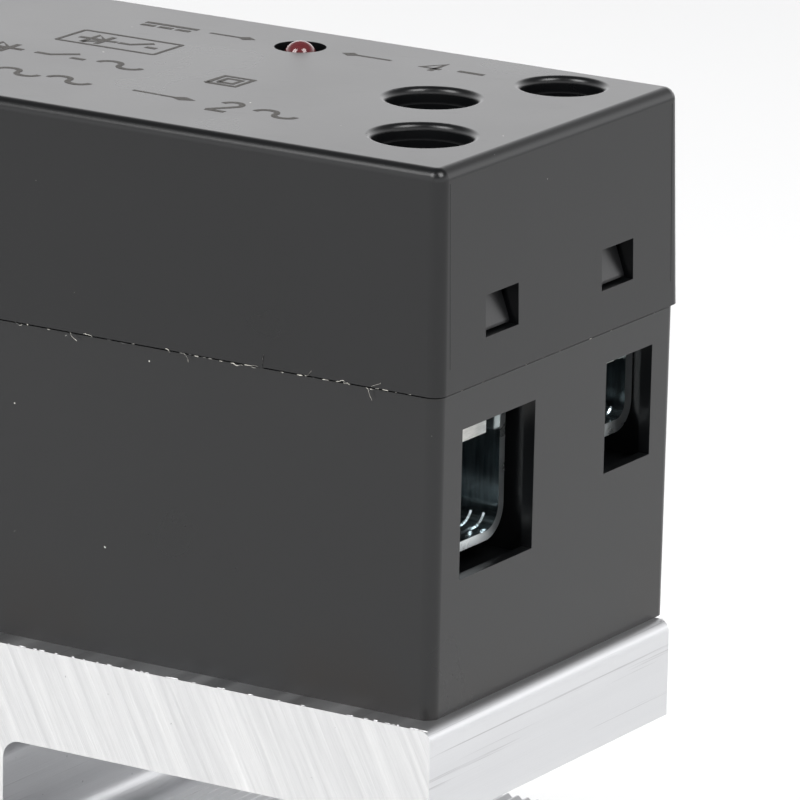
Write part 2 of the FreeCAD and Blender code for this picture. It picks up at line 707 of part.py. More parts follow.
def make_heat_sink():
    """Aluminium extrusion: plate, stem, ribbed fins and a foot for the rail."""
    body = new_body("heat_sink")
    outline = new_sketch(body, "SinkOutline", "XZ_Plane")
    add_polygon(outline, sink_outline())
    bar = pad(body, "SinkBar", outline, "sink_cut", side="Symmetric")
    stem = size("stem_half")
    floor = size("foot_height")

    def is_stem_corner(edge):
        spot = middle(edge)
        return runs_along(edge, "Y") and abs(abs(spot.x) - stem) < 1e-6 and spot.z > floor + 1e-6

    inner = dress(body, "Fillet", "StemCorners", bar, is_stem_corner, "stem_round")
    top = size("sink_height")
    reach = size("sink_length") / 2

    def is_plate_edge(edge):
        spot = middle(edge)
        return runs_along(edge, "Y") and spot.z > top - 1e-6 and abs(spot.x) > reach - 1e-6

    dress(body, "Fillet", "PlateEdges", inner, is_plate_edge, "sink_edge_round")
    grooves = new_sketch(body, "RibGrooves", "XZ_Plane")
    rib_grooves(grooves)
    pocket(body, "Ribs", grooves, "sink_cut + 2", side="Symmetric")
    latch_ways(body)
    taps = new_sketch(body, "FixingTaps", level="sink_height")
    for side in ("-", ""):
        add_circle(taps, f"{side}fixing_x", "fixing_offset + sink_shift",
                   "fixing_thread / 2 + thread_gap")
    pocket(body, "FixingTapsCut", taps, "fixing_depth + 1")
    place(body, 0, "sink_y", 0)


# ---- power module ------------------------------------------------------------

def above_sink(formula):
    return f"sink_height + {formula}"


def module_block(name, half_x, half_y, low, high):
    """A box centred on the housing, between two levels above the heat sink."""
    return block(name, (f"-({half_x})", half_x),
                 (f"housing_y - ({half_y})", f"housing_y + ({half_y})"),
                 (above_sink(low), above_sink(high)))


def drilled_for_fixings(name, sheet, low, high):
    """Clears the two fixing screws."""
    holes = []
    for end, side in (("A", "-"), ("B", "")):
        holes.append(rod(f"{name}Hole{end}", "fixing_thread / 2 + fixing_play", f"{side}fixing_x",
                         "fixing_y", above_sink(f"({low}) - 1"), above_sink(f"({high}) + 1")))
    return keep(cut(name, sheet, fuse(f"{name}Holes", *holes)), name)


def make_plates():
    """Thermal pad, metal base plate and ceramic substrate with its copper."""
    half_x = "plate_length / 2"
    half_y = "module_half - plate_gap"
    pad_sheet = module_block("PadSheet", half_x, half_y, "0", "pad_thickness")
    drilled_for_fixings("thermal_pad", pad_sheet, "0", "pad_thickness")
    metal = module_block("PlateSheet", half_x, half_y, "pad_thickness", "plate_top")
    drilled_for_fixings("base_plate", metal, "pad_thickness", "plate_top")
    keep(module_block("power_substrate", "substrate_length / 2", "substrate_width / 2",
                      "plate_top", "plate_top + substrate_thickness"), "power_substrate")
    lands = []
    for name, low, high in (
            ("LandA", "-substrate_length / 2 + land_margin", "-land_margin"),
            ("LandB", "land_margin", "substrate_length / 2 - land_margin")):
        lands.append(block(name, (low, high),
                           ("housing_y - substrate_width / 2 + land_margin",
                            "housing_y + substrate_width / 2 - land_margin"),
                           (above_sink("plate_top + substrate_thickness"),
                            above_sink("copper_top"))))
    group("copper_lands", *lands)


def make_thyristors():
    chips = []
    pins = []
    for name, side in (("A", "-"), ("B", "")):
        chips.append(block(f"Chip{name}",
                           (f"{side}chip_x - chip_side / 2", f"{side}chip_x + chip_side / 2"),
                           ("housing_y + chip_y - chip_side / 2",
                            "housing_y + chip_y + chip_side / 2"),
                           (above_sink("copper_top"), above_sink("chip_top"))))
        pins.append(rod(f"GatePin{name}", "pin_diameter / 2", f"{side}chip_x",
                        "housing_y + chip_y", above_sink("chip_top"), above_sink("board_floor")))
    group("thyristor_chips", *chips)
    group("gate_pins", *pins)


def make_power_bar(name, side):
    """A bar from the clamp down to its copper land, with a soldered foot."""
    body = new_body(name)
    sketch = new_sketch(body, f"Profile{name}", "XZ_Plane")
    add_polygon(sketch, (
        ("bar_end", "big_bar_level"),
        ("bar_end", "big_bar_top"),
        ("leg_x - big_bar", "big_bar_top"),
        ("leg_x - big_bar", "copper_top + big_bar"),
        ("leg_x - leg_foot", "copper_top + big_bar"),
        ("leg_x - leg_foot", "copper_top"),
        ("leg_x", "copper_top"),
        ("leg_x", "big_bar_level"),
    ))
    pad(body, f"Bar{name}", sketch, "big_bar_width", side="Symmetric")
    place(body, 0, "housing_y + big_offset", "sink_height")
    if side < 0:
        body.Placement.Rotation = FreeCAD.Rotation(Vector(0, 0, 1), 180)


def make_control_bar(name, side):
    """A straight bar from the clamp to the control board's underside."""
    body = new_body(name)
    sketch = new_sketch(body, f"Profile{name}", "XZ_Plane")
    add_rectangle(sketch, "board_length / 2 - board_lap", "bar_end",
                  "small_bar_level", "small_bar_top")
    pad(body, f"Bar{name}", sketch, "small_bar_width", side="Symmetric")
    place(body, 0, "housing_y + small_offset", "sink_height")
    if side < 0:
        body.Placement.Rotation = FreeCAD.Rotation(Vector(0, 0, 1), 180)


def make_potting():
    """Soft compound poured over the chips, around everything that stands in it."""
    pool = module_block("GelPool", "chamber_half - plate_gap", "module_half - plate_gap",
                        "plate_top", "plate_top + gel_depth")
    buried = fuse("GelBuried", nodes["power_substrate"], nodes["copper_lands"],
                  nodes["thyristor_chips"], nodes["gate_pins"],
                  nodes["power_bar_1"], nodes["power_bar_2"])
    keep(cut("potting_compound", pool, buried), "potting_compound")


# ---- clamps ------------------------------------------------------------------

def make_cage(name, kind, side):
    """A strap bent round into a cage, with a threaded top."""
    body = new_body(name)
    half = f"{kind}_cage_width / 2"
    height = f"{kind}_cage_inside + {kind}_cage_top - {kind}_cage_floor"
    profile = new_sketch(body, f"Strap{name}", "YZ_Plane")
    add_rectangle(profile, f"-{half}", half, "0", height)
    add_rectangle(profile, f"-{half} + {kind}_strap", f"{half} - {kind}_strap",
                  f"{kind}_strap", f"{kind}_cage_inside - {kind}_cage_floor")
    strap = pad(body, f"StrapPad{name}", profile, "cage_depth", side="Symmetric")
    outside = size(f"{kind}_cage_width") / 2
    inside = outside - size(f"{kind}_strap")

    def low_corner(across, level):
        def test(edge):
            spot = middle(edge)
            return (runs_along(edge, "X") and abs(abs(spot.y) - across) < 1e-6
                    and abs(spot.z - level) < 1e-6)
        return test

    outer = dress(body, "Fillet", f"OuterBend{name}", strap, low_corner(outside, 0),
                  f"{kind}_bend + {kind}_strap")
    dress(body, "Fillet", f"InnerBend{name}", outer, low_corner(inside, size(f"{kind}_strap")),
          f"{kind}_bend")
    hole = new_sketch(body, f"Thread{name}", level=height)
    add_circle(hole, "0", "0", f"{kind}_thread / 2 + thread_gap")
    pocket(body, f"ThreadCut{name}", hole, f"{kind}_cage_top + {kind}_strap / 2")
    place(body, f"{side} * screw_x", f"housing_y + {kind}_offset",
          above_sink(f"{kind}_cage_floor"))


def make_clamp_screw(name, kind, side):
    """A cheese-head screw with a cross recess, its tip resting on the bar."""
    x = f"{side} * screw_x"
    y = f"housing_y + {kind}_offset"
    shoulder = above_sink(f"{kind}_bar_top + screw_chamfer")
    tip = rod(f"Tip{name}", f"{kind}_thread / 2 - screw_chamfer", x, y,
              above_sink(f"{kind}_bar_top + thread_gap"), shoulder)
    shank = rod(f"Shank{name}", f"{kind}_thread / 2", x, y, shoulder,
                above_sink(f"{kind}_head_level"))
    head = rod(f"Head{name}", f"{kind}_head / 2", x, y, above_sink(f"{kind}_head_level"),
               above_sink(f"{kind}_head_level + head_height"))
    slots = []
    for letter, long_x, long_y in (("U", "recess_length", "recess_width"),
                                   ("V", "recess_width", "recess_length")):
        half_x = f"{long_x} * {kind}_head / 2"
        half_y = f"{long_y} * {kind}_head / 2"
        slots.append(block(f"Slot{letter}{name}",
                           (f"{x} - {half_x}", f"{x} + {half_x}"),
                           (f"{y} - {half_y}", f"{y} + {half_y}"),
                           (above_sink(f"{kind}_head_level + head_height / 2"),
                            above_sink(f"{kind}_head_level + head_height + 1"))))
    whole = fuse(f"Turned{name}", tip, shank, head)
    keep(cut(name, whole, fuse(f"Cross{name}", *slots)), name)


# ---- control board -----------------------------------------------------------

def on_board(kind, name):
    """A box that stands on the board, its middle given from the housing's middle."""
    keep(block(name,
               (f"{kind}_x - {kind}_length / 2", f"{kind}_x + {kind}_length / 2"),
               (f"housing_y + {kind}_y - {kind}_width / 2",
                f"housing_y + {kind}_y + {kind}_width / 2"),
               (above_sink("board_top"), above_sink(f"board_top + {kind}_height"))), name)


def lying_rod(name, radius, length, x, y, z):
    """A cylinder along +X from a place given by formulas."""
    solid = doc.addObject("Part::Cylinder", name)
    bind(solid, Radius=radius, Height=length)
    solid.Placement.Rotation = FreeCAD.Rotation(Vector(0, 1, 0), 90)
    place(solid, x, y, z)
    return solid


def make_control_board():
    keep(block("control_board", ("-board_length / 2", "board_length / 2"),
               ("housing_y + board_low", "housing_y + board_high"),
               (above_sink("board_floor"), above_sink("board_top"))), "control_board")
    on_board("opto", "optocoupler")
    on_board("capacitor", "snubber_capacitor")
    on_board("transistor", "driver_transistor")
    keep(lying_rod("varistor", "varistor_diameter / 2", "varistor_thickness", "varistor_x",
                   "housing_y + varistor_y", above_sink("board_top + varistor_diameter / 2")),
         "varistor")
    resistors = []
    for number in range(3):
        resistors.append(lying_rod(
            f"Resistor{number}", "resistor_diameter / 2", "resistor_length", "resistor_x",
            f"housing_y + resistor_y + {number} * resistor_pitch",
            above_sink("board_top + resistor_diameter / 2")))
    group("resistors", *resistors)


def make_status_lamp():
    """Domed lens on a collar, on two leads that stand on the board."""
    y = "housing_y + lamp_offset"
    crown = "base_height + cover_height + lamp_proud"
    shoulder = f"{crown} - lamp_diameter / 2"
    foot = f"{crown} - lamp_height"
    lens = rod("LampLens", "lamp_diameter / 2", "lamp_x", y, above_sink(foot),
               above_sink(shoulder))
    collar = rod("LampCollar", "lamp_diameter / 2 + collar_width", "lamp_x", y,
                 above_sink(foot), above_sink(f"{foot} + collar_height"))
    dome = doc.addObject("Part::Sphere", "LampDome")
    bind(dome, Radius="lamp_diameter / 2")
    place(dome, "lamp_x", y, above_sink(shoulder))
    keep(fuse("status_lamp", lens, collar, dome), "status_lamp")
    leads = []
    for name, side in (("LeadA", "-"), ("LeadB", "+")):
        leads.append(rod(name, "lead_diameter / 2", f"lamp_x {side} lead_pitch / 2", y,
                         above_sink("board_top"), above_sink(foot)))
    group("lamp_leads", *leads)


# ---- fixings and rail latch ---------------------------------------------------

def make_fixings():
    """Screws and spring washers that hold the module down on the heat sink."""
    screws = []
    washers = []
    under = "plate_top + washer_thickness"
    for name, side in (("A", "-"), ("B", "")):
        x = f"{side}fixing_x"
        shank = rod(f"FixShank{name}", "fixing_thread / 2", x, "fixing_y",
                    above_sink("-1 * fixing_depth"), above_sink(under))
        head = rod(f"FixHead{name}", "fixing_head / 2", x, "fixing_y", above_sink(under),
                   above_sink(f"{under} + fixing_head_height"))
        slot = block(f"FixSlot{name}",
                     (f"{x} - fixing_slot_length / 2", f"{x} + fixing_slot_length / 2"),
                     ("fixing_y - fixing_slot_width / 2", "fixing_y + fixing_slot_width / 2"),
                     (above_sink(f"{under} + fixing_head_height / 2"),
                      above_sink(f"{under} + fixing_head_height + 1")))
        screws.append(cut(f"FixScrew{name}", fuse(f"FixBody{name}", shank, head), slot))
        ring = rod(f"FixRing{name}", "fixing_head / 2", x, "fixing_y", above_sink("plate_top"),
                   above_sink(under))
        bore = rod(f"FixBore{name}", "fixing_thread / 2 + thread_gap", x, "fixing_y",
                   above_sink("plate_top - 1"), above_sink(f"{under} + 1"))
        washers.append(cut(f"FixWasher{name}", ring, bore))
    group("fixing_screws", *screws)
    group("spring_washers", *washers)


def make_rail_latch():
    """Sliding latch: a nose under the rail's edge and a slot to pull it by."""
    body = new_body("rail_latch")
    profile = new_sketch(body, "LatchProfile", "XZ_Plane")
    add_polygon(profile, (
        ("latch_tip", "latch_low + (nose_high - latch_low) / 2"),
        ("latch_tip", "nose_high"),
        ("latch_body", "nose_high"),
        ("latch_body", "latch_high"),
        ("latch_end", "latch_high"),
        ("latch_end", "latch_low"),
        ("latch_tip + (nose_high - latch_low) / 2", "latch_low"),
    ))
    pad(body, "LatchPad", profile, "latch_width", side="Symmetric")
    window = new_sketch(body, "SpringWindow", level="latch_high")
    add_rectangle(window, "window_from", "window_to", "-window_half", "window_half")
    add_rectangle(window, "latch_end - 2 * pull_slot", "latch_end - pull_slot",
                  "-window_half", "window_half")
    pocket(body, "SpringWindowCut", window, "latch_high")
    place(body, 0, "sink_y", 0)


def make_latch_retainer():
    """Plate under the latch, with a tab that the spring pushes against."""
    x_mid = "(retainer_from + retainer_to) / 2"
    plate = block("RetainerPlate", ("retainer_from", "retainer_to"),
                  ("sink_y - retainer_half", "sink_y + retainer_half"),
                  ("0", "retainer_thickness"))
    tab = block("RetainerTab", ("tab_from", "tab_from + tab_thickness"),
                ("sink_y - window_half + 2 * slide_gap", "sink_y + window_half - 2 * slide_gap"),
                ("0", "latch_high - slide_gap"))
    screws = []
    for name, side in (("A", "-"), ("B", "+")):
        y = f"sink_y {side} retainer_screw_y"
        head = doc.addObject("Part::Cone", f"RetainerHead{name}")
        bind(head, Radius1="retainer_head / 2", Radius2="retainer_screw / 2",
             Height="retainer_thickness")
        place(head, x_mid, y, "0")
        shank = rod(f"RetainerShank{name}", "retainer_screw / 2", x_mid, y,
                    "retainer_thickness / 2", "retainer_depth")
        screws.append(fuse(f"RetainerScrew{name}", head, shank))
    group("retainer_screws", *screws)
    whole = fuse("RetainerWhole", plate, tab)
    keep(cut("latch_retainer", whole, nodes["retainer_screws"]), "latch_retainer")


def make_latch_spring():
    """Round wire wound along X between the latch and the retainer's tab."""
    radius = size("spring_radius")
    wire = size("spring_wire") / 2
    start = size("window_from") + wire + 0.05
    length = size("tab_from") - wire - 0.05 - start
    helix = Part.makeHelix(length / size("spring_turns"), length, radius)
    ring = Part.Circle(Vector(radius, 0, 0), Vector(0, 1, 0), wire)
    coil = Part.Wire(helix.Edges).makePipeShell([Part.Wire(ring.toShape())], True, True)
    spring = doc.addObject("Part::Feature", "latch_spring")
    spring.Shape = coil
    middle_z = (size("latch_low") + size("latch_high")) / 2
    spring.Placement = FreeCAD.Placement(Vector(start, size("sink_y"), middle_z),
                                         FreeCAD.Rotation(Vector(0, 1, 0), 90))
    keep(spring, "latch_spring")


# ---- the whole relay ---------------------------------------------------------

def make_terminals():
    for big, small, side in ENDS:
        make_power_bar(f"power_bar_{big}", side)
        make_control_bar(f"control_bar_{small}", side)
        for number, kind in ((big, "big"), (small, "small")):
            make_cage(f"clamp_cage_{number}", kind, side)
            make_clamp_screw(f"clamp_screw_{number}", kind, side)


def check_document():
    doc.recompute()
    for thing in doc.Objects:
        if "Invalid" in thing.State or "Error" in thing.State:
            raise RuntimeError(f"{thing.Name} failed: {thing.State}")
    for name, thing in nodes.items():
        shape = thing.Shape
        if shape.isNull() or not shape.isValid() or not shape.Solids:
            raise RuntimeError(f"{name} has no valid solid")


def export_nodes():
    os.makedirs("parts", exist_ok=True)
    for name, thing in nodes.items():
        thing.Shape.exportStep(f"parts/{name}.step")


def main():
    make_cover()
    make_base_housing()
    make_heat_sink()
    make_plates()
    make_thyristors()
    make_terminals()
    doc.recompute()
    make_potting()
    make_control_board()
    make_status_lamp()
    make_fixings()
    make_rail_latch()
    make_latch_retainer()
    make_latch_spring()
    check_document()
    export_nodes()


main()
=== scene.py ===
import math
import random
from collections import namedtuple

import bmesh
import bpy
from mathutils import Matrix, Vector


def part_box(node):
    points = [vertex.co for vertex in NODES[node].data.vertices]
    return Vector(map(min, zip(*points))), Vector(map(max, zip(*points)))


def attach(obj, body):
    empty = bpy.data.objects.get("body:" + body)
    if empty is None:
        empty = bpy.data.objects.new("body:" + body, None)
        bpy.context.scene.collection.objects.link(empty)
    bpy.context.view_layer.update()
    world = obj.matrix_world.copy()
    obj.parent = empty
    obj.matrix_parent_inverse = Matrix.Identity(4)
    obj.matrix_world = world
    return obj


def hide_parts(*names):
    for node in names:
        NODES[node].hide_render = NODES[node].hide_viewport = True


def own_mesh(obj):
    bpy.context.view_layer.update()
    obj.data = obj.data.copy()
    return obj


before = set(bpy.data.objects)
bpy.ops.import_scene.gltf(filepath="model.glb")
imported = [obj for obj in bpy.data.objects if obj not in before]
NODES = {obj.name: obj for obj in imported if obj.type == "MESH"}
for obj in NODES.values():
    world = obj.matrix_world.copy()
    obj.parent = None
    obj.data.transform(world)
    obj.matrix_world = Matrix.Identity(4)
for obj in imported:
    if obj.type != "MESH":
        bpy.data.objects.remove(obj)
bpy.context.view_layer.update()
MM = 0.001
TURN = 2 * math.pi

# ---- places, in millimetres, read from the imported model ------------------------


def box_mm(node):
    low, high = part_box(node)
    return low / MM, high / MM


COVER_LOW, COVER_HIGH = box_mm("cover")
SINK_LOW, SINK_HIGH = box_mm("heat_sink")
LAMP_LOW, LAMP_HIGH = box_mm("status_lamp")
TOP = COVER_HIGH.z
SEAM = COVER_LOW.z
MID_Y = (COVER_LOW.y + COVER_HIGH.y) / 2
PLATE_TOP = SINK_HIGH.z
COVER_DRAFT = 0.42

# The two sizes of clamp: screw thread and pitch, strap, inside bend and gripping ridges.
Clamp = namedtuple("Clamp", "thread pitch strap bend ridge")
BIG_CLAMP = Clamp(thread=2.5, pitch=0.8, strap=0.85, bend=2.0, ridge=0.15)
SMALL_CLAMP = Clamp(thread=2.0, pitch=0.7, strap=1.15, bend=1.4, ridge=0.1)
RIDGE_PITCH = 1.3
RIDGE_HALF = 0.17


# ---- mesh helpers --------------------------------------------------------------


def piece(name, verts, faces, material, body="relay", slot=None, smooth=False):
    """A mesh piece from points in millimetres, riding on a body."""
    mesh = bpy.data.meshes.new(name)
    mesh.from_pydata([Vector(v) * MM for v in verts], [], faces)
    mesh.validate()
    bm = bmesh.new()
    bm.from_mesh(mesh)
    bmesh.ops.recalc_face_normals(bm, faces=bm.faces)
    bm.to_mesh(mesh)
    bm.free()
    mesh.materials.append(material)
    if smooth:
        mesh.shade_smooth()
    thing = bpy.data.objects.new(name, mesh)
    bpy.context.scene.collection.objects.link(thing)
    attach(thing, body)
    return thing


def smooth_by_angle(thing, degrees=35):
    """Shades smooth, and keeps edges sharper than the angle."""
    mesh = thing.data
    mesh.shade_smooth()
    mesh.set_sharp_from_angle(angle=math.radians(degrees))


def lathe(profile, x, y, sides=64):
    """A closed turned solid from (radius, height) pairs, open ends on the axis."""
    verts = []
    for radius, height in profile:
        for step in range(sides):
            angle = TURN * step / sides
            verts.append((x + radius * math.cos(angle), y + radius * math.sin(angle), height))
    faces = []
    for ring in range(len(profile) - 1):
        for step in range(sides):
            following = (step + 1) % sides
            low, high = ring * sides, (ring + 1) * sides
            faces.append((low + step, low + following, high + following, high + step))
    faces.append(tuple(range(sides - 1, -1, -1)))
    last = (len(profile) - 1) * sides
    faces.append(tuple(range(last, last + sides)))
    return verts, faces


def join(parts):
    """Several (verts, faces) lists as one."""
    verts, faces = [], []
    for own_verts, own_faces in parts:
        start = len(verts)
        verts.extend(own_verts)
        faces.extend(tuple(start + i for i in face) for face in own_faces)
    return verts, faces


def slab(corners, low, high):
    """A flat outline in the XY plane given a thickness."""
    count = len(corners)
    verts = [(x, y, low) for x, y in corners] + [(x, y, high) for x, y in corners]
    faces = [tuple(range(count - 1, -1, -1)), tuple(range(count, 2 * count))]
    for step in range(count):
        following = (step + 1) % count
        faces.append((step, following, count + following, count + step))
    return verts, faces


def stroke(points, width, low, high):
    """A drawn line of one width, with square ends, along a path in the XY plane."""
    left, right = [], []
    for index, (x, y) in enumerate(points):
        before = Vector(points[max(index - 1, 0)])
        after = Vector(points[min(index + 1, len(points) - 1)])
        along = (after - before).normalized()
        across = Vector((-along.y, along.x)) * width / 2
        left.append((x + across.x, y + across.y))
        right.append((x - across.x, y - across.y))
    parts = []
    for index in range(len(points) - 1):
        corners = (right[index], right[index + 1], left[index + 1], left[index])
        parts.append(slab(corners, low, high))
    return join(parts)


def crumb(centre, size, seed):
    """A small uneven flake or burr."""
    rng = random.Random(seed)
    verts = []
    for level in (-1, 1):
        for step in range(4):
            angle = TURN * (step + rng.uniform(-0.3, 0.3)) / 4
            reach = rng.uniform(0.5, 1.0)
            verts.append((centre[0] + size[0] / 2 * reach * math.cos(angle),
                          centre[1] + size[1] / 2 * reach * math.sin(angle),
                          centre[2] + size[2] / 2 * level * rng.uniform(0.5, 1.0)))
    faces = [(3, 2, 1, 0), (4, 5, 6, 7)]
    for step in range(4):
        following = (step + 1) % 4
        faces.append((step, following, 4 + following, 4 + step))
    return verts, faces


# ---- material helpers ----------------------------------------------------------


class Shader:
    """A node material built from a few plain calls."""

    def __init__(self, name, color, roughness, metallic=0.0, **sockets):
        self.material = bpy.data.materials.new(name)
        self.material.use_nodes = True
        self.tree = self.material.node_tree
        self.bsdf = self.tree.nodes["Principled BSDF"]
        self.bsdf.inputs["Base Color"].default_value = (*color, 1)
        self.bsdf.inputs["Roughness"].default_value = roughness
        self.bsdf.inputs["Metallic"].default_value = metallic
        for socket, value in sockets.items():
            self.bsdf.inputs[socket.replace("_", " ")].default_value = value
        self.place = self.node("ShaderNodeTexCoord").outputs["Object"]

    def node(self, kind, **values):
        made = self.tree.nodes.new(kind)
        for name, value in values.items():
            setattr(made, name, value)
        return made

    def link(self, source, target):
        self.tree.links.new(source, target)
        return source

    def feed(self, socket, value):
        """Sets a socket to a number, or links it to another node's output."""
        if isinstance(value, bpy.types.NodeSocket):
            self.link(value, socket)
        else:
            socket.default_value = value

    def stretched(self, scale, turn=(0, 0, 0)):
        """Object coordinates, turned in degrees and scaled along each axis."""
        mapping = self.node("ShaderNodeMapping", vector_type="TEXTURE")
        mapping.inputs["Rotation"].default_value = [math.radians(v) for v in turn]
        mapping.inputs["Scale"].default_value = [1 / v for v in scale]
        self.link(self.place, mapping.inputs["Vector"])
        return mapping.outputs["Vector"]

    def noise(self, scale, detail=3.0, rough=0.5, vector=None, distort=0.0):
        made = self.node("ShaderNodeTexNoise")
        self.link(vector or self.place, made.inputs["Vector"])
        made.inputs["Scale"].default_value = scale
        made.inputs["Detail"].default_value = detail
        made.inputs["Roughness"].default_value = rough
        made.inputs["Distortion"].default_value = distort
        return made.outputs["Fac"]

    def ramp(self, value, low, high, to_low=0.0, to_high=1.0):
        """Maps low..high to to_low..to_high, clamped."""
        made = self.node("ShaderNodeMapRange")
        self.link(value, made.inputs["Value"])
        for name, number in (("From Min", low), ("From Max", high),
                             ("To Min", to_low), ("To Max", to_high)):
            made.inputs[name].default_value = number
        return made.outputs["Result"]

    def math(self, operation, first, second=0.0):
        made = self.node("ShaderNodeMath", operation=operation)
        self.feed(made.inputs[0], first)
        self.feed(made.inputs[1], second)
        return made.outputs[0]

    def mix(self, factor, first, second):
        """Blends two colours; each is an RGB triple or another output."""
        made = self.node("ShaderNodeMix", data_type="RGBA")
        self.feed(made.inputs["Factor"], factor)
        for socket, value in ((made.inputs[6], first), (made.inputs[7], second)):
            self.feed(socket, value if isinstance(value, bpy.types.NodeSocket) else (*value, 1))
        return made.outputs[2]

    def axis(self, name):
        """One object coordinate, in metres."""
        made = self.node("ShaderNodeSeparateXYZ")
        self.link(self.place, made.inputs[0])
        return made.outputs[name]

    def facing(self, name):
        """How squarely the surface faces along one axis, 0 to 1."""
        geometry = self.node("ShaderNodeNewGeometry")
        made = self.node("ShaderNodeSeparateXYZ")
        self.link(geometry.outputs["True Normal"], made.inputs[0])
        return self.math("ABSOLUTE", made.outputs[name])

    def specks(self, scale, radius, share, vector=None, bend=0.0):
        """Sparse spots: cells of 1/scale metres, a share of which hold a spot."""
        source = vector or self.place
        if bend:
            shift = self.node("ShaderNodeTexNoise")
            self.link(source, shift.inputs["Vector"])
            shift.inputs["Scale"].default_value = scale * 4
            moved = self.node("ShaderNodeVectorMath", operation="MULTIPLY_ADD")
            self.link(shift.outputs["Color"], moved.inputs[0])
            moved.inputs[1].default_value = (bend,) * 3
            self.link(source, moved.inputs[2])
            source = moved.outputs[0]
        cells = self.node("ShaderNodeTexVoronoi")
        self.link(source, cells.inputs["Vector"])
        cells.inputs["Scale"].default_value = scale
        near = self.ramp(cells.outputs["Distance"], radius, radius * 0.6)
        chosen = self.node("ShaderNodeSeparateColor")
        self.link(cells.outputs["Color"], chosen.inputs[0])
        return self.math("MULTIPLY", near,
                         self.math("GREATER_THAN", chosen.outputs[0], 1 - share))

    def base(self, color):
        self.link(color, self.bsdf.inputs["Base Color"])

    def rough(self, value):
        self.link(value, self.bsdf.inputs["Roughness"])

    def bump(self, height, depth, strength=1.0):
        """Bump of a depth in metres; more than one is chained."""
        made = self.node("ShaderNodeBump")
        made.inputs["Strength"].default_value = strength
        made.inputs["Distance"].default_value = depth
        self.link(height, made.inputs["Height"])
        links = self.bsdf.inputs["Normal"].links
        if links:
            self.link(links[0].from_socket, made.inputs["Normal"])
        self.link(made.outputs["Normal"], self.bsdf.inputs["Normal"])


# ---- materials -----------------------------------------------------------------


def black_plastic(name, stained=False, specular=0.5):
    """Charcoal moulded plastic: faint flow marks, fine grain, dust and rubs."""
    shader = Shader(name, (0.006, 0.0065, 0.007), 0.3)
    shader.bsdf.inputs["Specular IOR Level"].default_value = specular
    cloud = shader.noise(45, 4)
    grain = shader.noise(5200, 2)
    tone = shader.mix(cloud, (0.002, 0.0022, 0.0026), (0.0045, 0.0048, 0.0054))
    if stained:
        low = shader.ramp(shader.axis("Z"), (PLATE_TOP + 9) * MM, (PLATE_TOP + 1.5) * MM)
        patch = shader.ramp(shader.noise(70, 5, 0.62), 0.46, 0.68)
        smear = shader.math("MULTIPLY", low, patch)
        tone = shader.mix(smear, tone, (0.0035, 0.0018, 0.0009))
    specks = shader.specks(420, 0.045, 0.2, bend=0.0006)
    fibres = shader.specks(1, 0.035, 0.09, shader.stretched((520, 260, 60), (20, 35, 50)), 0.5)
    dust = shader.math("MAXIMUM", specks, shader.math("MULTIPLY", fibres, 0.6))
    shader.base(shader.mix(dust, tone, (0.55, 0.54, 0.5)))
    rubs = shader.ramp(shader.noise(1, 4, 0.6, shader.stretched((140, 900, 500), (10, 20, 30))),
                       0.62, 0.74)
    rough = shader.math("ADD", shader.ramp(cloud, 0.3, 0.7, 0.27, 0.3),
                        shader.math("MULTIPLY", rubs, 0.02))
    shader.rough(shader.math("MAXIMUM", rough, shader.math("MULTIPLY", dust, 0.8)))
    shader.bump(grain, 0.000006, 0.5)
    shader.bump(cloud, 0.00012, 0.08)
    return shader.material


def mark_ink():
    """The burnt-in markings: matte, a little browner than the plastic."""
    shader = Shader("engraved_marks", (0.03, 0.026, 0.022), 0.6)
    grit = shader.noise(6000, 3)
    shader.base(shader.mix(grit, (0.02, 0.017, 0.015), (0.042, 0.037, 0.031)))
    shader.rough(shader.ramp(grit, 0.3, 0.7, 0.5, 0.7))
    shader.bump(grit, 0.00002, 0.7)
    return shader.material


def torn_plastic():
    """Thin whitened flash along moulded and rubbed edges."""
    shader = Shader("whitened_flash", (0.3, 0.29, 0.27), 0.6)
    patch = shader.noise(1500, 3)
    shader.base(shader.mix(shader.ramp(patch, 0.4, 0.62), (0.03, 0.03, 0.03), (0.55, 0.53, 0.48)))
    shader.rough(shader.ramp(patch, 0.3, 0.7, 0.45, 0.75))
    shader.bump(patch, 0.00003, 0.6)
    return shader.material


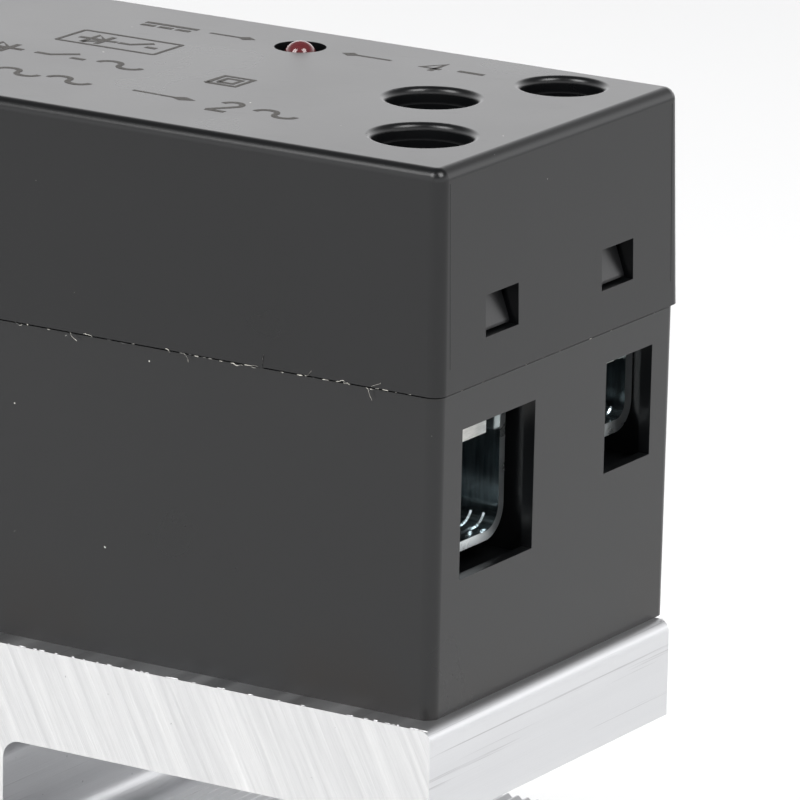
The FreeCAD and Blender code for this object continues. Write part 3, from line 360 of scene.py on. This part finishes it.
def aluminium():
    """Extruded along Y and sawn off square: scratches differ with the face."""
    shader = Shader("raw_aluminium", (0.8, 0.81, 0.82), 0.35, 1.0)
    sawn = shader.ramp(shader.facing("Y"), 0.9, 0.98)
    cuts = shader.noise(1, 5, 0.68, shader.stretched((1900, 60, 70), (0, -27, 0)), 0.3)
    coarse = shader.noise(1, 3, 0.5, shader.stretched((420, 30, 22), (0, -27, 0)))
    lines = shader.noise(1, 5, 0.6, shader.stretched((2600, 22, 2600)))
    bands = shader.noise(1, 3, 0.5, shader.stretched((420, 3, 420)))
    cloud = shader.noise(90, 4)
    drawn_tone = shader.mix(bands, (0.56, 0.565, 0.58), (0.7, 0.705, 0.715))
    drawn_tone = shader.mix(shader.ramp(lines, 0.62, 0.72), drawn_tone, (0.42, 0.42, 0.43))
    sawn_tone = shader.mix(cuts, (0.46, 0.462, 0.47), (0.76, 0.76, 0.755))
    sawn_tone = shader.mix(shader.ramp(coarse, 0.5, 0.75, 0.0, 0.5), sawn_tone, (0.82, 0.82, 0.81))
    tone = shader.mix(sawn, drawn_tone, sawn_tone)
    pits = shader.specks(900, 0.09, 0.08, bend=0.0003)
    shader.base(shader.mix(shader.math("MULTIPLY", pits, 0.6), tone, (0.25, 0.25, 0.26)))
    drawn_rough = shader.ramp(bands, 0.3, 0.7, 0.3, 0.45)
    sawn_rough = shader.ramp(cuts, 0.3, 0.7, 0.34, 0.55)
    gap = shader.math("SUBTRACT", sawn_rough, drawn_rough)
    shader.rough(shader.math("MULTIPLY_ADD", gap, sawn))
    blend = shader.tree.nodes[-1]
    shader.link(drawn_rough, blend.inputs[2])
    shader.bump(shader.math("MULTIPLY", cuts, sawn), 0.00016, 0.55)
    shader.bump(shader.math("MULTIPLY", coarse, sawn), 0.0002, 0.3)
    drawn = shader.math("SUBTRACT", 1.0, sawn)
    shader.bump(shader.math("MULTIPLY", lines, drawn), 0.00004, 0.5)
    shader.bump(cloud, 0.0001, 0.15)
    return shader.material


def bright_burr():
    """Freshly torn aluminium crumbs."""
    shader = Shader("aluminium_burr", (0.95, 0.95, 0.94), 0.45, 0.6)
    grit = shader.noise(4000, 3)
    shader.base(shader.mix(grit, (0.75, 0.75, 0.76), (1.0, 1.0, 0.99)))
    shader.rough(shader.ramp(grit, 0.3, 0.7, 0.35, 0.6))
    shader.bump(grit, 0.00004, 0.6)
    return shader.material


def zinc(name, tint=(0.56, 0.64, 0.67), cut_axis="X"):
    """Bright zinc plate, bluish, with rougher white sheared edges."""
    shader = Shader(name, tint, 0.16, 1.0)
    streaks = shader.noise(1, 4, 0.6, shader.stretched((2400, 260, 260)))
    cloud = shader.noise(260, 4)
    edge = shader.ramp(shader.facing(cut_axis), 0.75, 0.95)
    dull = tuple(v * 0.72 for v in tint)
    tone = shader.mix(cloud, dull, tint)
    tone = shader.mix(shader.math("MULTIPLY", edge, 0.55), tone, (0.78, 0.8, 0.8))
    spots = shader.specks(700, 0.1, 0.07, bend=0.0003)
    shader.base(shader.mix(spots, tone, (0.9, 0.9, 0.88)))
    shader.rough(shader.math("ADD", shader.ramp(streaks, 0.3, 0.7, 0.12, 0.24),
                             shader.math("MULTIPLY", edge, 0.12)))
    shader.bump(streaks, 0.00002, 0.4)
    shader.bump(cloud, 0.00008, 0.3)
    return shader.material


def tinned():
    """Tinned copper bar with dull torn ends."""
    shader = Shader("tinned_copper", (0.7, 0.7, 0.68), 0.3, 1.0)
    cloud = shader.noise(500, 4)
    edge = shader.ramp(shader.facing("X"), 0.8, 0.96)
    tone = shader.mix(cloud, (0.52, 0.53, 0.53), (0.76, 0.76, 0.74))
    torn = shader.noise(1, 4, 0.7, shader.stretched((900, 700, 3000)))
    tone = shader.mix(edge, tone, shader.mix(torn, (0.5, 0.5, 0.48), (0.96, 0.95, 0.92)))
    shader.base(tone)
    shader.rough(shader.math("ADD", shader.ramp(cloud, 0.3, 0.7, 0.2, 0.34),
                             shader.math("MULTIPLY", edge, 0.25)))
    shader.bump(cloud, 0.00005, 0.4)
    shader.bump(shader.math("MULTIPLY", torn, edge), 0.00012, 0.6)
    return shader.material


def steel(name, tint, rough):
    """Drawn or turned steel with fine rings and handling marks."""
    shader = Shader(name, tint, rough, 1.0)
    cloud = shader.noise(400, 4)
    lines = shader.noise(1, 4, 0.6, shader.stretched((500, 500, 4200)))
    shader.base(shader.mix(cloud, tuple(v * 0.75 for v in tint), tint))
    shader.rough(shader.ramp(lines, 0.3, 0.7, rough * 0.75, rough * 1.4))
    shader.bump(lines, 0.00002, 0.45)
    return shader.material


def soft_matter(name, dark, light, rough, scale, depth=0.00005, **sockets):
    """Anything matte: mottled between two colours with a fine uneven surface."""
    shader = Shader(name, light, rough, 0.0, **sockets)
    cloud = shader.noise(scale, 4)
    grit = shader.noise(scale * 9, 3)
    shader.base(shader.mix(cloud, dark, light))
    shader.rough(shader.ramp(grit, 0.3, 0.7, rough * 0.8, min(rough * 1.25, 1.0)))
    shader.bump(grit, depth, 0.5)
    return shader.material


def lamp_epoxy():
    """Clear pinkish-red lens."""
    shader = Shader("lamp_red", (0.35, 0.05, 0.06), 0.06)
    shader.bsdf.inputs["Transmission Weight"].default_value = 0.75
    shader.bsdf.inputs["IOR"].default_value = 1.53
    cloud = shader.noise(900, 3)
    shader.base(shader.mix(cloud, (0.3, 0.045, 0.055), (0.44, 0.09, 0.1)))
    shader.rough(shader.ramp(cloud, 0.3, 0.7, 0.04, 0.12))
    shader.bump(cloud, 0.00002, 0.3)
    return shader.material


PLASTIC = black_plastic("black_housing", specular=0.4)
PLASTIC_LOW = black_plastic("black_housing_low", stained=True, specular=0.46)
MARKS = mark_ink()
FLASH = torn_plastic()
ALUMINIUM = aluminium()
BURR = bright_burr()
CAGE = zinc("zinc_cage")
LATCH = zinc("zinc_latch", (0.66, 0.68, 0.69), "Z")
TINNED = tinned()
SCREW = steel("zinc_steel", (0.62, 0.66, 0.68), 0.24)
SPRING = steel("spring_steel", (0.5, 0.5, 0.51), 0.3)
PLATE = steel("base_metal", (0.68, 0.68, 0.66), 0.34)
LENS = lamp_epoxy()

CARRIED = {
    "cover": PLASTIC,
    "base_housing": PLASTIC_LOW,
    "heat_sink": ALUMINIUM,
    "thermal_pad": soft_matter("thermal_paste", (0.62, 0.62, 0.6), (0.8, 0.8, 0.78), 0.7, 300),
    "base_plate": PLATE,
    "power_substrate": soft_matter("alumina", (0.82, 0.82, 0.78), (0.93, 0.93, 0.9), 0.5, 500),
    "copper_lands": steel("copper", (0.78, 0.42, 0.27), 0.35),
    "thyristor_chips": soft_matter("silicon", (0.05, 0.055, 0.07), (0.09, 0.1, 0.13), 0.15, 200),
    "potting_compound": soft_matter("gel", (0.015, 0.015, 0.017), (0.03, 0.03, 0.032), 0.35, 120),
    "control_board": soft_matter("board_green", (0.012, 0.09, 0.04), (0.02, 0.14, 0.06), 0.35, 260),
    "optocoupler": soft_matter("component_black", (0.012, 0.012, 0.013), (0.03, 0.03, 0.032),
                               0.5, 900),
    "snubber_capacitor": soft_matter("capacitor_yellow", (0.62, 0.4, 0.05), (0.8, 0.55, 0.09),
                                     0.3, 400),
    "varistor": soft_matter("varistor_blue", (0.03, 0.1, 0.3), (0.06, 0.17, 0.42), 0.3, 500),
    "resistors": soft_matter("resistor_tan", (0.55, 0.4, 0.24), (0.72, 0.56, 0.37), 0.4, 700),
    "latch_spring": SPRING,
    "rail_latch": LATCH,
    "latch_retainer": LATCH,
    "retainer_screws": SCREW,
}
CARRIED["driver_transistor"] = CARRIED["optocoupler"]
for name in ("gate_pins", "lamp_leads", "power_bar_1", "power_bar_2",
             "control_bar_3", "control_bar_4"):
    CARRIED[name] = TINNED
for number in range(1, 5):
    CARRIED[f"clamp_cage_{number}"] = CAGE
for name, thing in NODES.items():
    material = CARRIED.get(name, SCREW)
    thing.data.materials.clear()
    thing.data.materials.append(material)
    for polygon in thing.data.polygons:
        polygon.material_index = 0


# ---- markings on the top ---------------------------------------------------------

INK_LOW = TOP - 0.03
INK_HIGH = TOP + 0.012
LINE = 0.55


def arc(x, y, radius_x, radius_y, start, end, steps=12):
    """Points round part of an oval, angles in degrees from +X."""
    points = []
    for step in range(steps + 1):
        angle = math.radians(start + (end - start) * step / steps)
        points.append((x + radius_x * math.cos(angle), y + radius_y * math.sin(angle)))
    return points


def glyph(kind, x, y, wide, high):
    """The strokes of one sign, from its lower left corner."""
    right, top, mid_x, mid_y = x + wide, y + high, x + wide / 2, y + high / 2
    if kind == "1":
        return [[(x + wide * 0.2, top - high * 0.25), (mid_x, top), (mid_x, y)]]
    if kind == "2":
        bowl = arc(mid_x, top - wide / 2, wide / 2, wide / 2, 170, -20)
        return [bowl + [(x, y)], [(x, y), (right, y)]]
    if kind == "3":
        return [arc(mid_x, top - high / 4, wide / 2, high / 4, 160, -90),
                arc(mid_x, y + high / 4, wide / 2, high / 4, 90, -160)]
    if kind == "4":
        return [[(x + wide * 0.7, y), (x + wide * 0.7, top), (x, y + high * 0.3),
                 (right, y + high * 0.3)]]
    if kind == "-":
        return [[(x, mid_y), (right, mid_y)]]
    if kind == "+":
        return [[(x, mid_y), (right, mid_y)], [(mid_x, y), (mid_x, top)]]
    if kind == "~":
        left = arc(x + wide / 4, mid_y, wide / 4, high / 3, 180, 0)
        return [left + arc(x + 3 * wide / 4, mid_y, wide / 4, high / 3, 180, 360)[1:]]
    if kind == "dc":
        third = wide / 3
        dashes = [[(x + third * n + 0.15, mid_y - 0.5), (x + third * (n + 1) - 0.25, mid_y - 0.5)]
                  for n in range(3)]
        return [[(x, mid_y + 0.5), (right, mid_y + 0.5)]] + dashes
    if kind == "diode":
        return [[(x, mid_y), (right, mid_y)],
                [(x + wide * 0.3, y), (x + wide * 0.3, top), (x + wide * 0.68, mid_y),
                 (x + wide * 0.3, y)],
                [(x + wide * 0.68, y), (x + wide * 0.68, top)]]
    if kind == "switch":
        return [[(x, mid_y), (x + wide * 0.3, mid_y), (x + wide * 0.7, top)],
                [(x + wide * 0.72, mid_y), (right, mid_y)]]
    if kind == "coil":
        return [[(x, y), (right, y), (right, top), (x, top), (x, y)],
                [(x + wide * 0.35, y), (x + wide * 0.65, top)]]
    if kind == "squares":
        inner = high * 0.25
        return [[(x, y), (right, y), (right, top), (x, top), (x, y)],
                [(x + inner, y + inner), (right - inner, y + inner), (right - inner, top - inner),
                 (x + inner, top - inner), (x + inner, y + inner)]]
    raise ValueError(kind)


def lead(start, end, y, head, slope=0.0):
    """A lead line with a filled pointed head at its end."""
    way = 1 if end > start else -1
    neck = end - way * head
    rise = slope * (end - start)
    body = stroke([(start, y), (neck, y + rise)], 0.34, INK_LOW, INK_HIGH)
    y_end = y + rise
    tip = slab([(neck, y_end - 0.22), (neck + way * head * 0.4, y_end - 0.62),
                (end, y_end), (neck + way * head * 0.4, y_end + 0.62), (neck, y_end + 0.22)],
               INK_LOW, INK_HIGH)
    return [body, tip]


def top_markings():
    """Terminal numbers and plain circuit signs in three rows along the top."""
    east = COVER_HIGH.x
    parts = []
    signs = [
        ("4", east - 22.6, MID_Y + 11.6, 2.0, 2.9),
        ("-", east - 19.0, MID_Y + 11.4, 2.6, 3.0),
        ("2", east - 28.8, MID_Y - 12.3, 1.9, 3.5),
        ("~", east - 25.0, MID_Y - 11.8, 4.2, 2.8),
        ("squares", east - 34.4, MID_Y - 3.8, 3.0, 3.0),
        ("3", -east + 21.0, MID_Y + 11.6, 1.8, 2.9),
        ("+", -east + 17.0, MID_Y + 11.6, 2.6, 2.6),
        ("1", -east + 27.2, MID_Y - 12.3, 1.9, 3.5),
        ("~", -east + 21.0, MID_Y - 11.8, 4.2, 2.8),
        ("dc", east - 52.0, MID_Y + 10.9, 5.6, 3.0),
        ("~", east - 46.6, MID_Y - 11.7, 4.4, 2.8),
        ("~", east - 52.0, MID_Y - 11.7, 4.4, 2.8),
        ("diode", east - 53.4, MID_Y + 2.9, 4.0, 3.0),
        ("switch", east - 49.2, MID_Y + 2.9, 4.0, 3.0),
        ("coil", east - 65.0, MID_Y - 4.6, 4.6, 3.2),
        ("diode", east - 59.0, MID_Y - 4.6, 4.6, 3.2),
        ("switch", east - 53.0, MID_Y - 4.6, 5.2, 3.2),
        ("~", east - 46.4, MID_Y - 4.3, 4.6, 2.8),
    ]
    for kind, x, y, wide, high in signs:
        for points in glyph(kind, x, y, wide, high):
            parts.append(stroke(points, LINE, INK_LOW, INK_HIGH + 0.0006 * (len(parts) % 9)))
    left, right, low, high = east - 54.5, east - 44.1, MID_Y + 2.3, MID_Y + 6.95
    border = [(left, low), (right, low), (right, high), (left, high), (left, low)]
    for first, second in zip(border, border[1:]):
        parts.append(stroke([first, second], 0.36, INK_LOW, INK_HIGH + 0.0006 * (len(parts) % 9)))
    parts.extend(lead(east - 44.9, east - 40.1, MID_Y + 12.6, 1.6))
    parts.extend(lead(east - 26.0, east - 31.1, MID_Y + 12.9, 1.5))
    parts.extend(lead(east - 37.8, east - 31.2, MID_Y - 10.1, 2.2, -0.03))
    parts.extend(lead(-east + 37.8, -east + 31.2, MID_Y - 10.1, 2.2, 0.03))
    return piece("top_markings", *join(parts), MARKS, slot="black_housing")


top_markings()


# ---- clamp screws, the lamp and the latch spring ---------------------------------


def threaded(radius, pitch, low, high, x, y, depth, sides=40):
    """A shank whose radius falls in a screw line round the axis, closed at its ends."""
    rings = int((high - low) / pitch * 8)
    verts = []
    for ring in range(rings + 1):
        height = low + (high - low) * ring / rings
        for step in range(sides):
            phase = (height / pitch - step / sides) % 1.0
            fall = depth * (1 - abs(2 * phase - 1))
            ends = min(height - low, high - height) / pitch
            own = radius - (fall if ends > 0.05 else depth)
            angle = TURN * step / sides
            verts.append((x + own * math.cos(angle), y + own * math.sin(angle), height))
    faces = [tuple(range(sides - 1, -1, -1))]
    for ring in range(rings):
        for step in range(sides):
            following = (step + 1) % sides
            low_ring, high_ring = ring * sides, (ring + 1) * sides
            faces.append((low_ring + step, low_ring + following,
                          high_ring + following, high_ring + step))
    faces.append(tuple(range(rings * sides, (rings + 1) * sides)))
    return verts, faces


def carve(thing, cutter_verts, cutter_faces):
    """Takes another closed mesh out of a piece, and keeps the result as its mesh."""
    mesh = bpy.data.meshes.new("cutter")
    mesh.from_pydata([Vector(v) * MM for v in cutter_verts], [], cutter_faces)
    bm = bmesh.new()
    bm.from_mesh(mesh)
    bmesh.ops.recalc_face_normals(bm, faces=bm.faces)
    bm.to_mesh(mesh)
    bm.free()
    cutter = bpy.data.objects.new("cutter", mesh)
    bpy.context.scene.collection.objects.link(cutter)
    boolean = thing.modifiers.new("carve", "BOOLEAN")
    boolean.object = cutter
    boolean.operation = "DIFFERENCE"
    boolean.solver = "EXACT"
    graph = bpy.context.evaluated_depsgraph_get()
    carved = bpy.data.meshes.new_from_object(thing.evaluated_get(graph))
    thing.modifiers.clear()
    thing.data = carved
    bpy.data.objects.remove(cutter)


def screw_head(radius, low, high, x, y):
    """A cheese head with a rounded upper edge and a small undercut below."""
    edge = 0.5
    profile = [(radius - 0.12, low), (radius, low + 0.15)]
    for step in range(6):
        angle = math.radians(90 * step / 5)
        profile.append((radius - edge + edge * math.cos(angle),
                        high - edge + edge * math.sin(angle)))
    profile.append((radius * 0.6, high))
    return lathe(profile, x, y)


def clamp_of(number):
    """Clamps 1 and 2 take the load's wires, 3 and 4 the control wires."""
    return BIG_CLAMP if number < 3 else SMALL_CLAMP


def clamp_screw(number):
    """A screw with a cross recess and a real thread, which turns with its body."""
    clamp = clamp_of(number)
    low, high = box_mm(f"clamp_screw_{number}")
    x, y = (low.x + high.x) / 2, (low.y + high.y) / 2
    head = (high.x - low.x) / 2
    neck = high.z - 3.6
    head_part = screw_head(head, neck, high.z, x, y)
    shank = threaded(clamp.thread, clamp.pitch, low.z + 0.6, neck + 0.05, x, y, 0.42)
    tip = lathe([(clamp.thread - 1.1, low.z), (clamp.thread - 0.7, low.z + 0.3),
                 (clamp.thread - 0.6, low.z + 0.7)], x, y, 40)
    thing = piece(f"detailed_screw_{number}", *head_part, SCREW, f"screw_{number}", "zinc_steel")
    for long_x, long_y in ((0.64, 0.15), (0.15, 0.64)):
        corners = [(x - long_x * head, y - long_y * head), (x + long_x * head, y - long_y * head),
                   (x + long_x * head, y + long_y * head), (x - long_x * head, y + long_y * head)]
        carve(thing, *slab(corners, high.z - 1.8, high.z + 1))
    smooth_by_angle(thing)
    stem = piece(f"screw_thread_{number}", *join([shank, tip]), SCREW, f"screw_{number}",
                 "zinc_steel")
    smooth_by_angle(stem, 50)
    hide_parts(f"clamp_screw_{number}")


for number in range(1, 5):
    clamp_screw(number)


def status_lamp():
    """A lens with a rounded top and a collar, and the cup inside it."""
    x = (LAMP_LOW.x + LAMP_HIGH.x) / 2
    y = (LAMP_LOW.y + LAMP_HIGH.y) / 2
    radius, collar = 1.5, 1.9
    profile = [(collar, LAMP_LOW.z), (collar, LAMP_LOW.z + 0.95), (radius, LAMP_LOW.z + 1.0)]
    for step in range(13):
        angle = math.radians(88 * step / 12)
        profile.append((radius * math.cos(angle),
                        LAMP_HIGH.z - radius + radius * math.sin(angle)))
    lens = piece("lamp_lens", *lathe(profile, x, y), LENS, slot="lamp_red")
    smooth_by_angle(lens, 40)
    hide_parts("status_lamp")
    cup_low = LAMP_LOW.z + 1.3
    cup = lathe([(0.35, cup_low - 0.9), (0.35, cup_low), (0.8, cup_low + 0.8),
                 (0.7, cup_low + 0.8), (0.3, cup_low + 0.2)], x, y, 32)
    smooth_by_angle(piece("lamp_cup", *cup, SCREW, slot="tinned_copper"))


status_lamp()


def latch_spring():
    """A coil of round wire spanning the old spring's box along X."""
    low, high = box_mm("latch_spring")
    y, z = (low.y + high.y) / 2, (low.z + high.z) / 2
    wire, turns, sides, travel = 0.24, 7, 10, 4.0
    radius = (high.z - low.z) / 2 - 0.25
    start, end = low.x + wire + 0.02, high.x - wire - 0.02
    steps = turns * 28
    verts = []
    for step in range(steps + 1):
        share = step / steps
        angle = TURN * turns * share
        outward = Vector((0, math.cos(angle), math.sin(angle)))
        centre = Vector((start + (end - start) * share, y, z)) + outward * radius
        for side in range(sides):
            around_wire = TURN * side / sides
            verts.append(centre + outward * wire * math.cos(around_wire)
                         + Vector((1, 0, 0)) * wire * math.sin(around_wire))
    faces = [tuple(range(sides - 1, -1, -1))]
    for step in range(steps):
        for side in range(sides):
            following = (side + 1) % sides
            low_ring, high_ring = step * sides, (step + 1) * sides
            faces.append((low_ring + side, low_ring + following,
                          high_ring + following, high_ring + side))
    faces.append(tuple(range(steps * sides, (steps + 1) * sides)))
    coil = piece("spring_coil", verts, faces, SPRING, slot="zinc_steel", smooth=True)
    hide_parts("latch_spring")
    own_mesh(coil)


latch_spring()

# ---- ridges, burrs and flash -------------------------------------------------------


def serrations(number):
    """Gripping ridges across a cage's floor, running a little way up its bends."""
    low, high = box_mm(f"clamp_cage_{number}")
    clamp = clamp_of(number)
    strap, bend, proud = clamp.strap, clamp.bend, clamp.ridge
    side = 1 if number % 2 == 0 else -1
    front = high.x if side > 0 else low.x
    mid = (low.y + high.y) / 2
    half = (high.y - low.y) / 2 - strap
    floor_z = low.z + strap
    path = []
    for start_angle, centre in ((210, mid - half + bend), (270, mid + half - bend)):
        for step in range(7):
            angle = math.radians(start_angle + 10 * step)
            path.append((centre + bend * math.cos(angle), floor_z + bend + bend * math.sin(angle),
                         -math.cos(angle), -math.sin(angle)))
    parts = []
    x = front - side * RIDGE_PITCH
    while min(abs(x - low.x), abs(x - high.x)) > 0.6 and low.x < x < high.x:
        verts, faces = [], []
        for y, z, toward_y, toward_z in path:
            verts.append((x - RIDGE_HALF, y - toward_y * 0.04, z - toward_z * 0.04))
            verts.append((x + RIDGE_HALF, y - toward_y * 0.04, z - toward_z * 0.04))
            verts.append((x, y + toward_y * proud, z + toward_z * proud))
        for step in range(len(path) - 1):
            a, b = step * 3, step * 3 + 3
            for first, second in ((0, 1), (1, 2), (2, 0)):
                faces.append((a + first, a + second, b + second, b + first))
        faces.append((2, 1, 0))
        last = (len(path) - 1) * 3
        faces.append((last, last + 1, last + 2))
        parts.append((verts, faces))
        x -= side * RIDGE_PITCH
    piece(f"cage_ridges_{number}", *join(parts), CAGE, f"cage_{number}", "zinc_steel")


for number in range(1, 5):
    serrations(number)
    rounding = NODES[f"clamp_cage_{number}"].modifiers.new("edge", "BEVEL")
    rounding.width = 0.1 * MM
    rounding.segments = 2
    rounding.limit_method = "ANGLE"
    rounding.angle_limit = math.radians(50)


def saw_burrs():
    """Torn crumbs left standing along the sawn edges of the plate."""
    rng = random.Random(11)
    parts = []
    for end in (SINK_LOW.y + 0.14, SINK_HIGH.y - 0.14):
        x = SINK_LOW.x + 0.4
        while x < SINK_HIGH.x - 0.4:
            size = (rng.uniform(0.15, 0.8), 0.2, rng.uniform(0.05, 0.16))
            if rng.random() < 0.7:
                parts.append(crumb((x, end, PLATE_TOP), size, rng.random()))
            x += rng.uniform(0.3, 1.5)
    for _ in range(60):
        spot = (rng.uniform(SINK_LOW.x + 1, SINK_HIGH.x - 1), SINK_LOW.y + 0.05,
                PLATE_TOP - rng.uniform(0.3, 8.2))
        parts.append(crumb(spot, (rng.uniform(0.15, 0.5), 0.08, rng.uniform(0.08, 0.2)),
                           rng.random()))
    piece("saw_burrs", *join(parts), BURR, slot="raw_aluminium")


def curl(start, length, seed, thick=0.05):
    """A thin curled shaving in a plane of constant Y, as a ribbon with a little depth."""
    rng = random.Random(seed)
    angle = rng.uniform(-0.9, 0.9)
    points = [start]
    for _ in range(6):
        angle += rng.uniform(-0.6, 0.6)
        x, y, z = points[-1]
        points.append((x + math.cos(angle) * length / 6, y, z + math.sin(angle) * length / 6))
    verts, faces = [], []
    for x, y, z in points:
        verts.extend([(x, y - thick, z), (x, y + thick, z), (x, y, z + thick)])
    for step in range(len(points) - 1):
        a, b = step * 3, step * 3 + 3
        for first, second in ((0, 1), (1, 2), (2, 0)):
            faces.append((a + first, a + second, b + second, b + first))
    last = (len(points) - 1) * 3
    faces.extend([(2, 1, 0), (last, last + 1, last + 2)])
    return verts, faces


def seam_flash():
    """Whitened burrs and curls in the joint between cover and base."""
    rng = random.Random(5)
    parts = []
    for front in (COVER_LOW.y - 0.02, COVER_HIGH.y - 0.08):
        x = COVER_LOW.x + 3
        while x < COVER_HIGH.x - 1.6:
            near = 1 - min(abs(x - (COVER_HIGH.x - 14)) / 34, 1)
            if rng.random() < 0.3 + 0.5 * near:
                parts.append(crumb((x, front, SEAM - rng.uniform(0, 0.16)),
                                   (rng.uniform(0.15, 0.7), 0.12, rng.uniform(0.05, 0.11)),
                                   rng.random()))
            if front < 0 and rng.random() < 0.08 + 0.12 * near:
                parts.append(curl((x, front - 0.02, SEAM + rng.uniform(-0.1, 0.1)),
                                  rng.uniform(0.6, 1.4), rng.random(), 0.035))
            x += rng.uniform(0.5, 1.5)
    for end in (COVER_LOW.x + 0.12, COVER_HIGH.x - 0.12):
        y = COVER_LOW.y + 2
        while y < COVER_HIGH.y - 1.6:
            if rng.random() < 0.35:
                parts.append(crumb((end, y, SEAM - rng.uniform(0.02, 0.14)),
                                   (0.14, rng.uniform(0.15, 0.6), rng.uniform(0.05, 0.1)),
                                   rng.random()))
            y += rng.uniform(0.5, 1.6)
    piece("seam_flash", *join(parts), FLASH, slot="black_housing")


def witness_lines():
    """Moulding lines up the cover's end faces, beside the upright corners."""
    parts = []
    draft = COVER_DRAFT / (TOP - SEAM)
    for side in (-1, 1):
        for y in (COVER_LOW.y + 1.75, COVER_HIGH.y - 1.75):
            rows = []
            for z in (SEAM + 2.2, TOP - 1.3):
                x = COVER_HIGH.x - draft * (z - SEAM) - 0.01
                rows.extend([(side * x, y - 0.05, z), (side * x, y + 0.05, z),
                             (side * (x + 0.035), y, z)])
            parts.append((rows, [(0, 1, 4, 3), (1, 2, 5, 4), (2, 0, 3, 5), (2, 1, 0), (3, 4, 5)]))
    piece("witness_lines", *join(parts), PLASTIC, slot="black_housing")


saw_burrs()
seam_flash()
witness_lines()

# ---- floor, light and camera ------------------------------------------------------


def floor():
    half = 4.0
    mesh = bpy.data.meshes.new("floor")
    low = -0.0002
    mesh.from_pydata([(-half, -half, low), (half, -half, low), (half, half, low),
                      (-half, half, low)], [], [(0, 1, 2, 3)])
    shader = Shader("pale_floor", (0.86, 0.86, 0.86), 0.9)
    shader.base(shader.mix(shader.noise(3, 2), (0.85, 0.85, 0.85), (0.88, 0.88, 0.88)))
    mesh.materials.append(shader.material)
    thing = bpy.data.objects.new("floor", mesh)
    bpy.context.scene.collection.objects.link(thing)


CAMERA_AZIMUTH = 32.028
CAMERA_ELEVATION = 15.373
CAMERA_ROLL = 1.045
CAMERA_DISTANCE = 0.646495
CAMERA_LENS = 347.09
SOFTBOX_SIZE = (0.6, 0.6)
SOFTBOX_DISTANCE = 1.3


def around(azimuth, elevation):
    """Unit vector from the object towards a viewer; azimuth 0 stands at -Y."""
    a, e = math.radians(azimuth), math.radians(elevation)
    return Vector((math.sin(a) * math.cos(e), -math.cos(a) * math.cos(e), math.sin(e)))


def camera():
    data = bpy.data.cameras.new("camera")
    data.lens = CAMERA_LENS
    data.sensor_width = 36
    data.clip_start, data.clip_end = 0.05, 20
    thing = bpy.data.objects.new("camera", data)
    bpy.context.scene.collection.objects.link(thing)
    target = Vector((COVER_HIGH.x - 3.845, COVER_LOW.y, PLATE_TOP + 27.859)) * MM
    back = around(CAMERA_AZIMUTH, CAMERA_ELEVATION)
    azimuth, roll = math.radians(CAMERA_AZIMUTH), math.radians(CAMERA_ROLL)
    right = Vector((math.cos(azimuth), math.sin(azimuth), 0))
    up = back.cross(right)
    across = right * math.cos(roll) + up * math.sin(roll)
    upright = up * math.cos(roll) - right * math.sin(roll)
    place = Matrix((across, upright, back)).transposed().to_4x4()
    place.translation = target + back * CAMERA_DISTANCE
    thing.matrix_world = place
    bpy.context.scene.camera = thing


def softbox(name, azimuth, elevation, power):
    """A square light aimed at the relay."""
    data = bpy.data.lights.new(name, "AREA")
    data.shape = "RECTANGLE"
    data.size, data.size_y = SOFTBOX_SIZE
    data.energy = power
    thing = bpy.data.objects.new(name, data)
    bpy.context.scene.collection.objects.link(thing)
    way = around(azimuth, elevation)
    thing.location = way * SOFTBOX_DISTANCE + Vector((0, 0, 0.08))
    thing.rotation_mode = "QUATERNION"
    thing.rotation_quaternion = way.to_track_quat("Z", "Y")


def surroundings():
    """A white room: bright at the horizon, darker overhead."""
    world = bpy.data.worlds.new("studio")
    bpy.context.scene.world = world
    world.use_nodes = True
    tree = world.node_tree
    background = tree.nodes["Background"]
    place = tree.nodes.new("ShaderNodeTexCoord")
    parts = tree.nodes.new("ShaderNodeSeparateXYZ")
    tree.links.new(place.outputs["Generated"], parts.inputs[0])
    ramp = tree.nodes.new("ShaderNodeValToRGB")
    tree.links.new(parts.outputs["Z"], ramp.inputs[0])
    tree.links.new(ramp.outputs[0], background.inputs["Color"])
    stops = ((0.0, 0.78), (0.3, 0.8), (0.42, 0.5), (0.6, 0.1), (1.0, 0.05))
    ramp.color_ramp.elements[0].position = stops[0][0]
    ramp.color_ramp.elements[1].position = stops[-1][0]
    for position, _ in stops[1:-1]:
        ramp.color_ramp.elements.new(position)
    for element, (_, value) in zip(ramp.color_ramp.elements, stops):
        element.color = (value, value, value * 1.01, 1)
    background.inputs["Strength"].default_value = 2.2


floor()
camera()
surroundings()
softbox("key_left", CAMERA_AZIMUTH - 55, 50, 11.5)
softbox("key_right", CAMERA_AZIMUTH + 50, 55, 10.5)
bpy.context.scene.view_settings.view_transform = "Standard"
